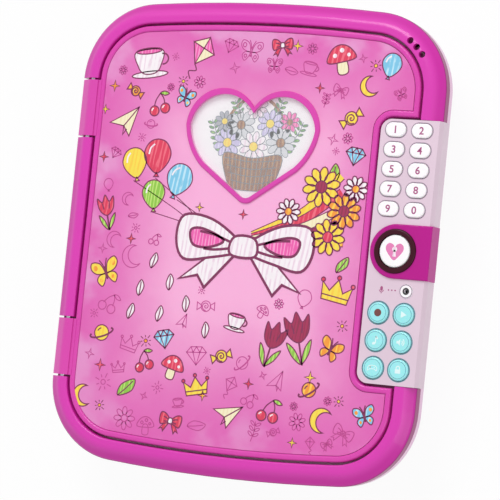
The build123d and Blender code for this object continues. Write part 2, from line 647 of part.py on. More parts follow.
def key_prism(name, x, y, margin, z_low, z_high):
    """A key's outline as a solid between two heights."""
    return extrude(Pos(x, y, z_low) * key_plan(name, margin), z_high - z_low)


def key_places():
    """Every key of the pad, digits first."""
    return number_key_places() + round_key_places()


def make_faceplate():
    """The silver plate of the keypad with its side wall, left skirt and key openings."""
    low = BAY_MIDDLE_Y - FACEPLATE_HALF_HEIGHT
    high = BAY_MIDDLE_Y + FACEPLATE_HALF_HEIGHT
    outer = rounded_plate(
        FACEPLATE_LEFT, FACEPLATE_RIGHT + 4 * BAY_CORNER, low, high, BAY_CORNER, SPLIT_HEIGHT, FACEPLATE_TOP
    )
    outer &= block(0, FACEPLATE_RIGHT, low, high, SPLIT_HEIGHT, FACEPLATE_TOP)
    edge = outer.edges().filter_by(Axis.Y).sort_by(Axis.X)[-2:].sort_by(Axis.Z)[-1]
    outer = chamfer(edge, FACEPLATE_BEVEL_DOWN, FACEPLATE_BEVEL_IN, reference=outer.faces().sort_by(Axis.X)[-1])
    hollow = rounded_plate(
        FACEPLATE_LEFT + FACEPLATE_SIDE_WALL, FACEPLATE_RIGHT - FACEPLATE_RIGHT_WALL,
        low + FACEPLATE_END_WALL, high - FACEPLATE_END_WALL,
        BAY_CORNER - FACEPLATE_SIDE_WALL, SPLIT_HEIGHT - 1, FACEPLATE_UNDER,
    )
    plate = outer - hollow
    right = CASE_WIDTH / 2
    lip = block(right, FACEPLATE_RIGHT, low, high, SPLIT_HEIGHT - FACEPLATE_LIP, SPLIT_HEIGHT)
    plate += lip
    for name, x, y in key_places():
        plate -= key_prism(name, x, y, KEY_CLEARANCE, FACEPLATE_UNDER - 1, FACEPLATE_TOP + 1)
    for x, y in BOARD_SCREWS:
        plate += post(x, y, BOARD_POST_RADIUS, BOARD_TOP, FACEPLATE_UNDER)
        plate -= screw_hole(x, y, BOARD_TOP - 1, FACEPLATE_UNDER)
    plate -= post(BUTTON_X, BUTTON_Y, BEZEL_RADIUS - 1.0 + 0.02, FACEPLATE_UNDER - 1, FACEPLATE_TOP + 1)
    plate -= post(MIC_X, MIC_Y, MIC_RING_RADIUS + 0.02, FACEPLATE_UNDER - 1, FACEPLATE_TOP + 1)
    return plate


def make_latch_tab():
    """The raised tab round the unlock button, carried over the right side of the case."""
    low = BUTTON_Y - TAB_RADIUS
    high = BUTTON_Y + TAB_RADIUS
    disc = post(BUTTON_X, BUTTON_Y, TAB_RADIUS, SPLIT_HEIGHT, TAB_TOP)
    tab = disc + block(BUTTON_X, TAB_RIGHT, low, high, SPLIT_HEIGHT, TAB_TOP)
    top_edges = tab.faces().sort_by(Axis.Z)[-1].edges()
    tab = fillet(top_edges, TAB_BLEND)
    tab -= block(0, FACEPLATE_RIGHT - FACEPLATE_BEVEL_IN, low - 1, high + 1, 0, FACEPLATE_TOP)
    bevel = Plane.XZ * make_face(
        Polyline(
            (FACEPLATE_RIGHT - FACEPLATE_BEVEL_IN - 0.01, 0),
            (FACEPLATE_RIGHT, 0),
            (FACEPLATE_RIGHT, FACEPLATE_TOP - FACEPLATE_BEVEL_DOWN),
            (FACEPLATE_RIGHT - FACEPLATE_BEVEL_IN, FACEPLATE_TOP),
            (FACEPLATE_RIGHT - FACEPLATE_BEVEL_IN - 0.01, FACEPLATE_TOP),
            close=True,
        )
    )
    tab -= extrude(bevel, CASE_HEIGHT, both=True)
    tab -= post(BUTTON_X, BUTTON_Y, BEZEL_RADIUS + 0.02, 0, TAB_TOP + 1)
    return tab


def make_button_bezel():
    """The plum ring between the tab and the unlock button."""
    ring = post(BUTTON_X, BUTTON_Y, BEZEL_RADIUS, FACEPLATE_TOP, BEZEL_TOP)
    ring = fillet(ring.faces().sort_by(Axis.Z)[-1].edges(), 0.9)
    ring += post(BUTTON_X, BUTTON_Y, BEZEL_RADIUS - 1.0, FACEPLATE_UNDER - 0.8, FACEPLATE_TOP)
    return ring - post(BUTTON_X, BUTTON_Y, BUTTON_RADIUS + KEY_CLEARANCE, 0, BEZEL_TOP + 1)


def make_unlock_button():
    """The round unlock button with a flange that stops it under the ring."""
    cap = post(BUTTON_X, BUTTON_Y, BUTTON_RADIUS, FACEPLATE_UNDER - 1.0, BUTTON_TOP)
    cap = fillet(cap.faces().sort_by(Axis.Z)[-1].edges(), 0.9)
    flange_top = FACEPLATE_UNDER - 0.85
    cap += post(BUTTON_X, BUTTON_Y, BEZEL_RADIUS - 1.4, flange_top - 0.9, flange_top)
    return cap + post(BUTTON_X, BUTTON_Y, 2.0, BUTTON_STEM_LOW - 0.6, flange_top)


def make_key(name, x, y):
    """One key: a cap with rounded top edge, a retaining flange and a stem over its dome."""
    flange_top = FACEPLATE_UNDER - 0.05
    cap = key_prism(name, x, y, 0, flange_top, KEY_TOP)
    cap = fillet(cap.faces().sort_by(Axis.Z)[-1].edges(), KEY_BLEND)
    cap += key_flange(name, x, y, flange_top - KEY_FLANGE, flange_top)
    return cap + post(x, y, DOME_RADIUS - 0.6, KEY_STEM_LOW, flange_top)


def make_mat(places):
    """A rubber sheet on the board with one low dome under each key."""
    xs = [x for _, x, _ in places]
    ys = [y for _, _, y in places]
    top = BOARD_TOP + MAT_THICKNESS
    x_low, x_high = min(xs) - MAT_MARGIN_X, max(xs) + MAT_MARGIN_X
    y_low, y_high = min(ys) - MAT_MARGIN_Y, max(ys) + MAT_MARGIN_Y
    mat = rounded_plate(x_low, x_high, y_low, y_high, 1.0, BOARD_TOP, top)
    for _, x, y in places:
        mat += post(x, y, DOME_RADIUS, top, top + MAT_DOME)
    return mat


def make_mic_bezel():
    """The pale ring round the microphone's hole."""
    ring = post(MIC_X, MIC_Y, MIC_RING_RADIUS, FACEPLATE_UNDER, FACEPLATE_TOP + MIC_RING_PROUD)
    ring = fillet(ring.faces().sort_by(Axis.Z)[-1].edges(), 0.25)
    return ring - post(MIC_X, MIC_Y, MIC_HOLE_RADIUS, 0, RIM_TOP + 1)


# ---- electronics ------------------------------------------------------------------------------------------
def make_board():
    """The circuit board that hangs under the keypad."""
    low = BAY_MIDDLE_Y - BOARD_HALF_LENGTH
    high = BAY_MIDDLE_Y + BOARD_HALF_LENGTH
    board = rounded_plate(BOARD_LEFT, BOARD_RIGHT, low, high, BAY_CORNER, BOARD_BOTTOM, BOARD_TOP)
    for x, y in BOARD_SCREWS:
        board -= screw_hole(x, y, 0, RIM_TOP)
    return board


def make_board_screws():
    """The screws that hold the board to the faceplate's posts."""
    return [screw(x, y, BOARD_BOTTOM - SCREW_HEAD, SCREW_HEAD + BOARD_SCREW_GRIP) for x, y in BOARD_SCREWS]


def make_board_parts():
    """Two sealed chips and the wire socket under the board, and the unlock button's switch on it."""
    low = BOARD_BOTTOM - CHIP_HEIGHT
    parts = [post(x, y, radius, low, BOARD_BOTTOM) for x, y, radius in CHIPS]
    parts.append(block(*SOCKET, BOARD_BOTTOM - SOCKET_HEIGHT, BOARD_BOTTOM))
    x_low, x_high = BUTTON_X - SWITCH_HALF, BUTTON_X + SWITCH_HALF
    y_low, y_high = BUTTON_Y - SWITCH_HALF, BUTTON_Y + SWITCH_HALF
    parts.append(block(x_low, x_high, y_low, y_high, BOARD_TOP, BOARD_TOP + SWITCH_HEIGHT))
    return parts


def make_microphone():
    """The microphone capsule on the board, under its hole."""
    return post(MIC_X, MIC_Y, MIC_RADIUS, BOARD_TOP, BOARD_TOP + MIC_LENGTH)


def make_speaker():
    """The loudspeaker: magnet, basket and cone, facing the deck."""
    low = SPEAKER_LOW
    magnet = post(SPEAKER_X, SPEAKER_Y, SPEAKER_RADIUS * 0.5, low - 3.0, low)
    basket = Cone(SPEAKER_RADIUS * 0.6, SPEAKER_RADIUS * 0.92, SPEAKER_BASKET)
    basket = Pos(SPEAKER_X, SPEAKER_Y, low + SPEAKER_BASKET / 2) * basket
    flange_low = low + SPEAKER_BASKET
    flange = post(SPEAKER_X, SPEAKER_Y, SPEAKER_RADIUS, flange_low, flange_low + SPEAKER_FLANGE)
    cone_low = SPEAKER_RADIUS * 0.3
    dish = Pos(SPEAKER_X, SPEAKER_Y, low + 3.5) * Cone(cone_low, SPEAKER_RADIUS * 0.85, 3.0)
    return magnet + basket + flange - dish


def make_speaker_clamp():
    """The ring bracket that holds the speaker up under the deck."""
    low = SPEAKER_LOW + SPEAKER_BASKET + SPEAKER_FLANGE
    ring = post(SPEAKER_X, SPEAKER_Y, SPEAKER_RADIUS, low, FLANGE_LOW)
    return ring - post(SPEAKER_X, SPEAKER_Y, SPEAKER_RADIUS - SPEAKER_CLAMP_LAP, low - 1, FLANGE_LOW + 1)


# ---- batteries --------------------------------------------------------------------------------------------
def cell_places():
    """Number, x and which way each cell points along Y."""
    middle = (CELL_COUNT - 1) / 2
    return [(i + 1, BATTERY_X + (i - middle) * CELL_PITCH, 1 - 2 * (i % 2)) for i in range(CELL_COUNT)]


def make_cell(x, way):
    """One penlight cell with its nub."""
    half = (CELL_BODY + CELL_NUB) / 2
    z = CELL_BOTTOM + CELL_RADIUS
    body_ends = sorted((-way * half, way * (half - CELL_NUB)))
    nub_ends = sorted((way * (half - CELL_NUB), way * half))
    body = rod_along_y(x, z, CELL_RADIUS, *body_ends)
    body = fillet(body.edges().filter_by(GeomType.CIRCLE), 0.6)
    return body + rod_along_y(x, z, CELL_NUB_RADIUS, *nub_ends)


def make_contacts():
    """A sprung plate at each cell's flat end and a plain plate at its nub."""
    half = (CELL_BODY + CELL_NUB) / 2
    z = CELL_BOTTOM + CELL_RADIUS
    contacts = []
    for _, x, way in cell_places():
        for side, radius in ((way, CELL_NUB_RADIUS * 0.8), (-way, CELL_NUB_RADIUS * 1.3)):
            plate_ends = sorted((side * BAY_END, side * (BAY_END - CONTACT_THICKNESS)))
            boss_ends = sorted((side * half, side * (BAY_END - CONTACT_THICKNESS)))
            plate = block(x - 6.0, x + 6.0, *plate_ends, CELL_BOTTOM + 1.0, z + 5.0)
            contacts.append(plate + rod_along_y(x, z, radius, *boss_ends))
    return contacts


def make_battery_door():
    """The cover of the battery bay, sunk a little into the back, with its screw tab."""
    margin = DOOR_LEDGE - DOOR_CLEARANCE
    x_low, x_high, y_low, y_high = battery_opening(margin)
    door = rounded_plate(x_low, x_high, y_low, y_high, 1.0, DOOR_LOW, DOOR_TOP)
    half_tab = DOOR_TAB_WIDTH / 2 - DOOR_CLEARANCE
    tab_low = door_screw_y() - DOOR_TAB / 2 + DOOR_CLEARANCE
    door += block(BATTERY_X - half_tab, BATTERY_X + half_tab, tab_low, y_low + 2, DOOR_LOW, DOOR_TOP)
    for i in range(4):
        y = BAY_END - 6.0 - 2.2 * i
        door -= block(BATTERY_X - 9.0, BATTERY_X + 9.0, y - 0.5, y + 0.5, 0, DOOR_LOW + 0.4)
    door -= screw_hole(BATTERY_X, door_screw_y(), 0, RIM_TOP)
    seat = DOOR_LOW + DOOR_SCREW_SINK + DOOR_SCREW_HEAD
    return door - post(BATTERY_X, door_screw_y(), SCREW_HEAD_RADIUS + 0.2, 0, seat)


def make_door_screw():
    """The captive screw of the battery door."""
    low = DOOR_LOW + DOOR_SCREW_SINK
    return screw(BATTERY_X, door_screw_y(), low, DOOR_SCREW_LENGTH, DOOR_SCREW_HEAD)


# ---- latch ------------------------------------------------------------------------------------------------
def make_latch_housing():
    """The plate under the keypad that guides the latch slide and carries its motor."""
    front = BUTTON_Y + LATCH_FRONT
    rear = BUTTON_Y + LATCH_REAR
    plate = block(LATCH_LEFT, LATCH_RIGHT, rear, front, LATCH_PLATE_LOW, LATCH_PLATE_TOP)
    for x, y in LATCH_POSTS:
        inner = front - 1 if y > BUTTON_Y else rear + 1
        plate += post(x, y, LATCH_EAR, LATCH_PLATE_LOW, LATCH_PLATE_TOP)
        ends = sorted((inner, y))
        plate += block(x - LATCH_EAR, x + LATCH_EAR, *ends, LATCH_PLATE_LOW, LATCH_PLATE_TOP)
    nose = BOLT_HALF_WIDTH + GUIDE_CLEARANCE
    top = SLIDE_HIGH + GUIDE_CLEARANCE
    guide_right = SLIDE_LEFT - LATCH_TRAVEL - GUIDE_CLEARANCE
    plate += block(LATCH_LEFT, guide_right, BUTTON_Y - nose - 2, BUTTON_Y + nose + 2, LATCH_PLATE_LOW, top)
    low, high = BOLT_LOW - GUIDE_CLEARANCE, BOLT_HIGH + GUIDE_CLEARANCE
    plate -= block(LATCH_LEFT - 1, guide_right + 1, BUTTON_Y - nose, BUTTON_Y + nose, low, high)
    rail = BUTTON_Y + nose
    plate += block(SLIDE_LEFT - 1, LATCH_RIGHT, rail, rail + 1.6, LATCH_PLATE_LOW, top + 1.2)
    plate += block(SLIDE_LEFT - 1, LATCH_RIGHT, rail - 1.6, rail + 1.6, top, top + 1.2)
    stop = BUTTON_Y - SLIDE_BACK - GUIDE_CLEARANCE
    plate += block(SLIDE_RIGHT - 1, LATCH_RIGHT, stop - 1.6, stop, LATCH_PLATE_LOW, top)
    plate -= post(GEAR_X, GEAR_Y, MOTOR_SHAFT_RADIUS + 0.4, 0, RIM_TOP)
    for x, y in LATCH_POSTS:
        plate -= screw_hole(x, y, 0, RIM_TOP)
    return plate


def tooth(length_out):
    """A straight-flanked tooth whose pitch line is the X axis and whose tip points along length_out."""
    slope = math.tan(math.radians(20))
    half = RACK_PITCH * TOOTH_SHARE / 2
    tip = half - ADDENDUM * slope
    root = half + DEDENDUM * slope
    out = length_out
    return make_face(
        Polyline((-root, -DEDENDUM * out), (-tip, ADDENDUM * out), (tip, ADDENDUM * out), (root, -DEDENDUM * out), close=True)
    )


def make_latch_slide():
    """The bolt with the rack on its rear side."""
    slide = block(
        SLIDE_LEFT, SLIDE_RIGHT, BUTTON_Y - SLIDE_BACK, BUTTON_Y + BOLT_HALF_WIDTH, SLIDE_LOW, SLIDE_HIGH
    )
    nose = block(
        BOLT_TIP, SLIDE_LEFT, BUTTON_Y - BOLT_HALF_WIDTH, BUTTON_Y + BOLT_HALF_WIDTH, BOLT_LOW, BOLT_HIGH
    )
    slide += chamfer(nose.faces().sort_by(Axis.X)[0].edges(), 0.5)
    line_y = BUTTON_Y + RACK_LINE
    for i in range(-3, 4):
        x = GEAR_X + (i + 0.5) * RACK_PITCH
        if SLIDE_LEFT + 1.0 < x < SLIDE_RIGHT - 2.5:
            slide += extrude(Pos(x, line_y, SLIDE_LOW) * tooth(-1), SLIDE_HIGH - SLIDE_LOW)
    return slide


def make_latch_gear():
    """The motor's pinion with its shaft."""
    gear = post(GEAR_X, GEAR_Y, GEAR_RADIUS - DEDENDUM + 0.02, GEAR_LOW, GEAR_LOW + GEAR_THICKNESS)
    for i in range(GEAR_TEETH):
        turn = Pos(GEAR_X, GEAR_Y, GEAR_LOW) * Rot(0, 0, 360 * i / GEAR_TEETH)
        gear += extrude(turn * Pos(0, GEAR_RADIUS, 0) * tooth(1), GEAR_THICKNESS)
    return gear + post(GEAR_X, GEAR_Y, MOTOR_SHAFT_RADIUS, LATCH_PLATE_LOW - 2.0, GEAR_LOW)


def make_latch_motor():
    """The small motor under the latch plate, its shaft's bore open at the top."""
    top = LATCH_PLATE_LOW
    motor = post(GEAR_X, GEAR_Y, MOTOR_RADIUS, top - MOTOR_LENGTH, top)
    motor = fillet(motor.faces().sort_by(Axis.Z)[0].edges(), 0.8)
    motor += post(GEAR_X, GEAR_Y, MOTOR_RADIUS * 0.35, top - MOTOR_LENGTH - 1.0, top - MOTOR_LENGTH)
    return motor - post(GEAR_X, GEAR_Y, MOTOR_SHAFT_RADIUS + PIN_RUN_CLEARANCE, top - 2.5, top + 1)


def make_latch_screws():
    """The screws that hold the latch plate to its posts, heads up."""
    screws = []
    for x, y in LATCH_POSTS:
        upright = screw(0, 0, 0, SCREW_HEAD + LATCH_SCREW_GRIP)
        screws.append(Pos(x, y, LATCH_PLATE_TOP + SCREW_HEAD) * Rot(180, 0, 0) * upright)
    return screws


# ---- lid ----------------------------------------------------------------------------------------------------
def lid_prism(inset, z_low, z_high):
    """The lid's plan, drawn in by inset and notched round the keypad, between two heights."""
    plate = slab(LID_INSET + inset, z_low, z_high)
    return plate - bay_space(LID_GAP + inset, z_low - 1, z_high + 1)


def knuckle(y_low, y_high):
    """One hinge knuckle: the rim's own outer form where it lies within reach of the pin."""
    low = y_low + KNUCKLE_GAP / 2
    high = y_high - KNUCKLE_GAP / 2
    edge = -CASE_WIDTH / 2 + LID_INSET + 1.0
    body = rim_body(HINGE_Z - KNUCKLE_REACH - 1)
    body &= rod_along_y(HINGE_X, HINGE_Z, KNUCKLE_REACH, low, high)
    body &= block(-CASE_WIDTH, edge, low, high, 0, RIM_TOP + 1)
    body += block(HINGE_X, edge, low, high, LID_BOTTOM, LID_TOP)
    line = edge - 1.0 - LID_GAP / 2
    groove_low = RIM_TOP - MOULD_LINE_DEPTH
    half = MOULD_LINE_WIDTH / 2
    return body - block(line - half, line + half, low - 1, high + 1, groove_low, RIM_TOP + 1)


def liner_screw_places():
    """Where the inner cover of the lid is screwed on."""
    left, high = SCREW_LEFT, SCREW_HIGH
    corners = [(left, high), (left, -high), (BAY_LEFT - 7.5, high), (BAY_LEFT - 7.5, -high)]
    return corners + [(left - 6.0, 0.0), (BAY_LEFT - 19.5, 0.0)]


def make_lid_frame():
    """The lid's glossy frame with its bead, web and two hinge knuckles."""
    frame = lid_prism(0, LID_BOTTOM, LID_TOP)
    frame -= lid_prism(LID_BEAD, LID_WEB_TOP, LID_TOP + 1)
    top = frame.faces().filter_by(Axis.Z).sort_by(Axis.Z)[-1]
    frame = fillet(top.edges(), LID_BEAD_BLEND)
    frame -= lid_prism(LID_WALL, LID_BOTTOM - 1, LID_WEB_TOP - LID_WEB)
    frame += both_knuckles(knuckle)
    for y_low, y_high in pin_places():
        frame -= rod_along_y(HINGE_X, HINGE_Z, PIN_RADIUS + PIN_RUN_CLEARANCE, y_low, y_high)
    liner_top = LID_BOTTOM + LINER_THICKNESS
    for x, y in liner_screw_places():
        frame += post(x, y, BOSS_RADIUS, liner_top, LID_WEB_TOP - LID_WEB)
        frame -= screw_hole(x, y, LID_BOTTOM, LID_WEB_TOP - 0.4)
    return frame


def heart(spec, z):
    """A heart face: round lobes, curved hips, straight lower sides and a small round tip."""
    def at(sign, name):
        return (HEART_X + sign * spec[name][0], spec[name][1])

    edges = [ThreePointArc(at(1, "toe"), at(1, "tip"), at(-1, "toe"))]
    for sign in (1, -1):
        edges.append(ThreePointArc(at(sign, "notch"), at(sign, "lobe"), at(sign, "side")))
        edges.append(ThreePointArc(at(sign, "side"), at(sign, "hip"), at(sign, "low")))
        edges.append(Line(at(sign, "low"), at(sign, "toe")))
    return Pos(0, 0, z) * make_face(edges)


def drawn_in(spec, inset):
    """The same heart with each of its points moved inwards."""
    slant = inset / math.sqrt(2)
    ways = {"notch": (0, -inset), "lobe": (0, -inset), "side": (-inset, 0), "tip": (0, inset)}
    moved = {}
    for name, (x, y) in spec.items():
        across, up = ways.get(name, (-slant, slant))
        moved[name] = (x + across, y + up)
    return moved


def heart_prism(spec, z_low, z_high):
    """A heart between two heights."""
    return extrude(heart(spec, z_low), z_high - z_low)


def make_cover_panel():
    """The printed translucent panel of the cover, open behind the heart window."""
    panel = lid_prism(LID_BEAD + PANEL_CLEARANCE, LID_WEB_TOP, PANEL_TOP)
    return panel - heart_prism(HEART_INNER, LID_WEB_TOP - 1, PANEL_TOP + 1)


def make_heart_bezel():
    """The glossy ring round the heart window, seated on the panel."""
    shoulder = HEART_BEZEL_TOP - HEART_BEZEL_BLEND
    ring = heart_prism(HEART_OUTER, PANEL_TOP, shoulder)
    crest = drawn_in(HEART_OUTER, HEART_BEZEL_BLEND)
    ring += loft([heart(HEART_OUTER, shoulder), heart(crest, HEART_BEZEL_TOP)], ruled=True)
    return ring - heart_prism(HEART_INNER, PANEL_TOP - 1, HEART_BEZEL_TOP + 1)


def make_lid_liner():
    """The inner cover of the lid."""
    top = LID_BOTTOM + LINER_THICKNESS
    liner = lid_prism(LID_WALL + LINER_CLEARANCE, LID_BOTTOM, top)
    for x, y in liner_screw_places():
        liner -= screw_hole(x, y, 0, RIM_TOP)
        liner -= post(x, y, SCREW_HEAD_RADIUS + 0.2, 0, LID_BOTTOM + SCREW_HEAD)
    half = CATCH_HALF_WIDTH + 0.1
    right = CATCH_LEFT + CATCH_THICKNESS + 0.1
    return liner - block(CATCH_LEFT - 0.1, right, BUTTON_Y - half, BUTTON_Y + half, 0, RIM_TOP)


def make_lid_catch():
    """The steel catch that hangs from the lid with a window for the bolt."""
    right = CATCH_LEFT + CATCH_THICKNESS
    low_y, high_y = BUTTON_Y - CATCH_HALF_WIDTH, BUTTON_Y + CATCH_HALF_WIDTH
    foot_low = LID_BOTTOM + LINER_THICKNESS
    foot_high = LID_WEB_TOP - LID_WEB
    catch = block(CATCH_LEFT, right, low_y, high_y, CATCH_LOW, foot_high)
    catch += block(CATCH_LEFT - CATCH_FOOT, right, low_y, high_y, foot_low, foot_high)
    window_low, window_high = BUTTON_Y - CATCH_WINDOW_HALF, BUTTON_Y + CATCH_WINDOW_HALF
    return catch - block(
        CATCH_LEFT - 1, right + 1, window_low, window_high, CATCH_WINDOW_LOW, CATCH_WINDOW_HIGH
    )


# ---- notepad and wires --------------------------------------------------------------------------------------
def pad_layer(z_low, thickness, left=PAD_LEFT, right=PAD_RIGHT):
    """One layer of the notepad."""
    half = PAD_HALF_HEIGHT
    return rounded_plate(left, right, -half, half, min(PAD_CORNER, (right - left) / 2.2), z_low, z_low + thickness)


def make_notepad():
    """Backing board, pages, cover and binding strip, bottom up."""
    low = TRAY_FLOOR_TOP + PAD_GAP
    pages_low = low + PAD_BOARD
    cover_low = pages_low + PAD_PAGES
    strip_low = cover_low + PAD_COVER
    return {
        "notepad_board": pad_layer(low, PAD_BOARD),
        "notepad_pages": pad_layer(pages_low, PAD_PAGES),
        "notepad_cover": pad_layer(cover_low, PAD_COVER),
        "notepad_binding": pad_layer(strip_low, PAD_COVER, right=PAD_LEFT + PAD_BINDING),
    }


def bend_radii(points):
    """The largest arc that the two runs at each corner allow."""
    radii = []
    for before, here, after in zip(points, points[1:], points[2:]):
        run_in = Vector(*here) - Vector(*before)
        run_out = Vector(*after) - Vector(*here)
        turn = math.radians(run_in.get_angle(run_out))
        radii.append(0.45 * min(run_in.length, run_out.length) / math.tan(turn / 2))
    return radii


def make_wire(points):
    """One insulated lead along its route."""
    radii = bend_radii(points)
    print("wire radii", [round(radius, 1) for radius in radii])
    path = FilletPolyline(*points, radius=radii)
    return sweep(Plane(origin=path @ 0, z_dir=path % 0) * Circle(WIRE_RADIUS), path)


def make_parts():
    """Every piece of the diary by its name."""
    parts = {
        "back_shell": make_back_shell(),
        "upper_casing": make_upper_casing(),
        "inner_tray": make_inner_tray(),
        "keypad_faceplate": make_faceplate(),
        "latch_tab": make_latch_tab(),
        "button_bezel": make_button_bezel(),
        "mic_bezel": make_mic_bezel(),
        "number_key_mat": make_mat(number_key_places()),
        "function_key_mat": make_mat(round_key_places()),
        "circuit_board": make_board(),
        "board_parts": make_board_parts(),
        "microphone": make_microphone(),
        "speaker": make_speaker(),
        "speaker_clamp": make_speaker_clamp(),
        "battery_contacts": make_contacts(),
        "hinge_pins": [rod_along_y(HINGE_X, HINGE_Z, PIN_RADIUS, *ends) for ends in pin_places()],
        "latch_housing": make_latch_housing(),
        "latch_motor": make_latch_motor(),
        "latch_screws": make_latch_screws(),
        "board_screws": make_board_screws(),
        "case_screws": make_case_screws(),
        "battery_wires": [make_wire(route) for route in BATTERY_ROUTES],
        "speaker_wires": [make_wire(route) for route in SPEAKER_ROUTES],
        "motor_wires": [make_wire(route) for route in MOTOR_ROUTES],
        "lid_frame": make_lid_frame(),
        "cover_panel": make_cover_panel(),
        "heart_bezel": make_heart_bezel(),
        "heart_lens": heart_prism(HEART_INNER, HEART_LENS_TOP - HEART_LENS, HEART_LENS_TOP),
        "picture_card": heart_prism(HEART_INNER, LID_WEB_TOP, LID_WEB_TOP + PHOTO_CARD),
        "lid_liner": make_lid_liner(),
        "liner_screws": [
            screw(x, y, LID_BOTTOM, LINER_THICKNESS + LINER_SCREW_GRIP) for x, y in liner_screw_places()
        ],
        "lid_catch": make_lid_catch(),
        "unlock_button": make_unlock_button(),
        "latch_slide": make_latch_slide(),
        "latch_gear": make_latch_gear(),
        "battery_door": make_battery_door(),
        "battery_door_screw": make_door_screw(),
    }
    parts.update(make_notepad())
    for number, x, way in cell_places():
        parts[f"battery_cell_{number}"] = make_cell(x, way)
    for name, x, y in number_key_places():
        parts[f"key_{name}"] = make_key(name, x, y)
    for name, x, y in round_key_places():
        parts[f"{name}_key"] = make_key(name, x, y)
    return parts


def main():
    """Write one STEP file per piece."""
    os.makedirs("parts", exist_ok=True)
    for name, shape in make_parts().items():
        if isinstance(shape, list):
            shape = Compound(children=shape)
        export_step(shape, f"parts/{name}.step")


main()
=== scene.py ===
"""The looks of an electronic secret diary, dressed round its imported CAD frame. Metres.

The diary lies on its back: +X towards the keypad, +Y up the page and +Z out of the cover. Sizes of
printed shapes are given in millimetres, as a print shop would, and turned into metres on the way
into a mesh.
"""

import logging
import math
import random
from collections.abc import Callable, Iterable, Sequence
from dataclasses import dataclass, field
from enum import Enum

import bmesh
import bpy
from mathutils import Matrix, Vector


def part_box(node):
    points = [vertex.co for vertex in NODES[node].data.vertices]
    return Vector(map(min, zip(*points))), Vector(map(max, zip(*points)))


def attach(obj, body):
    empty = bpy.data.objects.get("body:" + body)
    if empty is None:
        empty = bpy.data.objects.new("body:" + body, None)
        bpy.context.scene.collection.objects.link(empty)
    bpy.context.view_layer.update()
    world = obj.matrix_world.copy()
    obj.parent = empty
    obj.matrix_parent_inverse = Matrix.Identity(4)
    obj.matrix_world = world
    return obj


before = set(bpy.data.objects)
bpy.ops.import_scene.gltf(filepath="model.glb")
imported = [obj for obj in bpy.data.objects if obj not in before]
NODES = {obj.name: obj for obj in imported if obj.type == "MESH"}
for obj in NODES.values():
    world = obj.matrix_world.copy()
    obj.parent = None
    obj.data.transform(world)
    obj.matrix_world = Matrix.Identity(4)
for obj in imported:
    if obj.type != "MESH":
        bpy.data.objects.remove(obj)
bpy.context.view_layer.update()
MM = 0.001
MITRE_LIMIT = 0.45
log = logging.getLogger("diary")

Point = tuple[float, float]
Rgb = tuple[float, float, float]


def linear(code: str) -> Rgb:
    """Turn a six-digit screen colour into the linear values that shaders use.

    Args:
        code: The colour as red, green and blue in hexadecimal.

    Returns:
        The three linear values.
    """
    values = [int(code[i : i + 2], 16) / 255 for i in (0, 2, 4)]
    return tuple(v / 12.92 if v <= 0.04045 else ((v + 0.055) / 1.055) ** 2.4 for v in values)


# ---- shader writing ---------------------------------------------------------------------------------
class Value:
    """A number in a shader that grows Math nodes as it is used in sums."""

    def __init__(self, recipe: "Recipe", socket: bpy.types.NodeSocket) -> None:
        """Hold a socket and the recipe that it belongs to."""
        self.recipe = recipe
        self.socket = socket

    def _with(self, operation: str, *terms: "Value | float") -> "Value":
        """Return the outcome of one Math operation on the given terms."""
        inputs = {index: term for index, term in enumerate(terms)}
        return self.recipe.number("ShaderNodeMath", {"operation": operation}, inputs)

    def __add__(self, other: "Value | float") -> "Value":
        """Add."""
        return self._with("ADD", self, other)

    def __sub__(self, other: "Value | float") -> "Value":
        """Take away."""
        return self._with("SUBTRACT", self, other)

    def __rsub__(self, other: float) -> "Value":
        """Take this from a number."""
        return self._with("SUBTRACT", other, self)

    def __mul__(self, other: "Value | float") -> "Value":
        """Multiply."""
        return self._with("MULTIPLY", self, other)

    __radd__ = __add__
    __rmul__ = __mul__

    def __abs__(self) -> "Value":
        """Drop the sign."""
        return self._with("ABSOLUTE", self)

    def larger(self, other: "Value | float") -> "Value":
        """Return the larger of two values."""
        return self._with("MAXIMUM", self, other)

    def sine(self) -> "Value":
        """Return the sine of the value in radians."""
        return self._with("SINE", self)

    def rise(self, start: float, end: float) -> "Value":
        """Go smoothly from 0 to 1 as the value goes from start to end."""
        settings = {"interpolation_type": "SMOOTHSTEP"}
        inputs = {"Value": self, "From Min": start, "From Max": end}
        return self.recipe.number("ShaderNodeMapRange", settings, inputs)


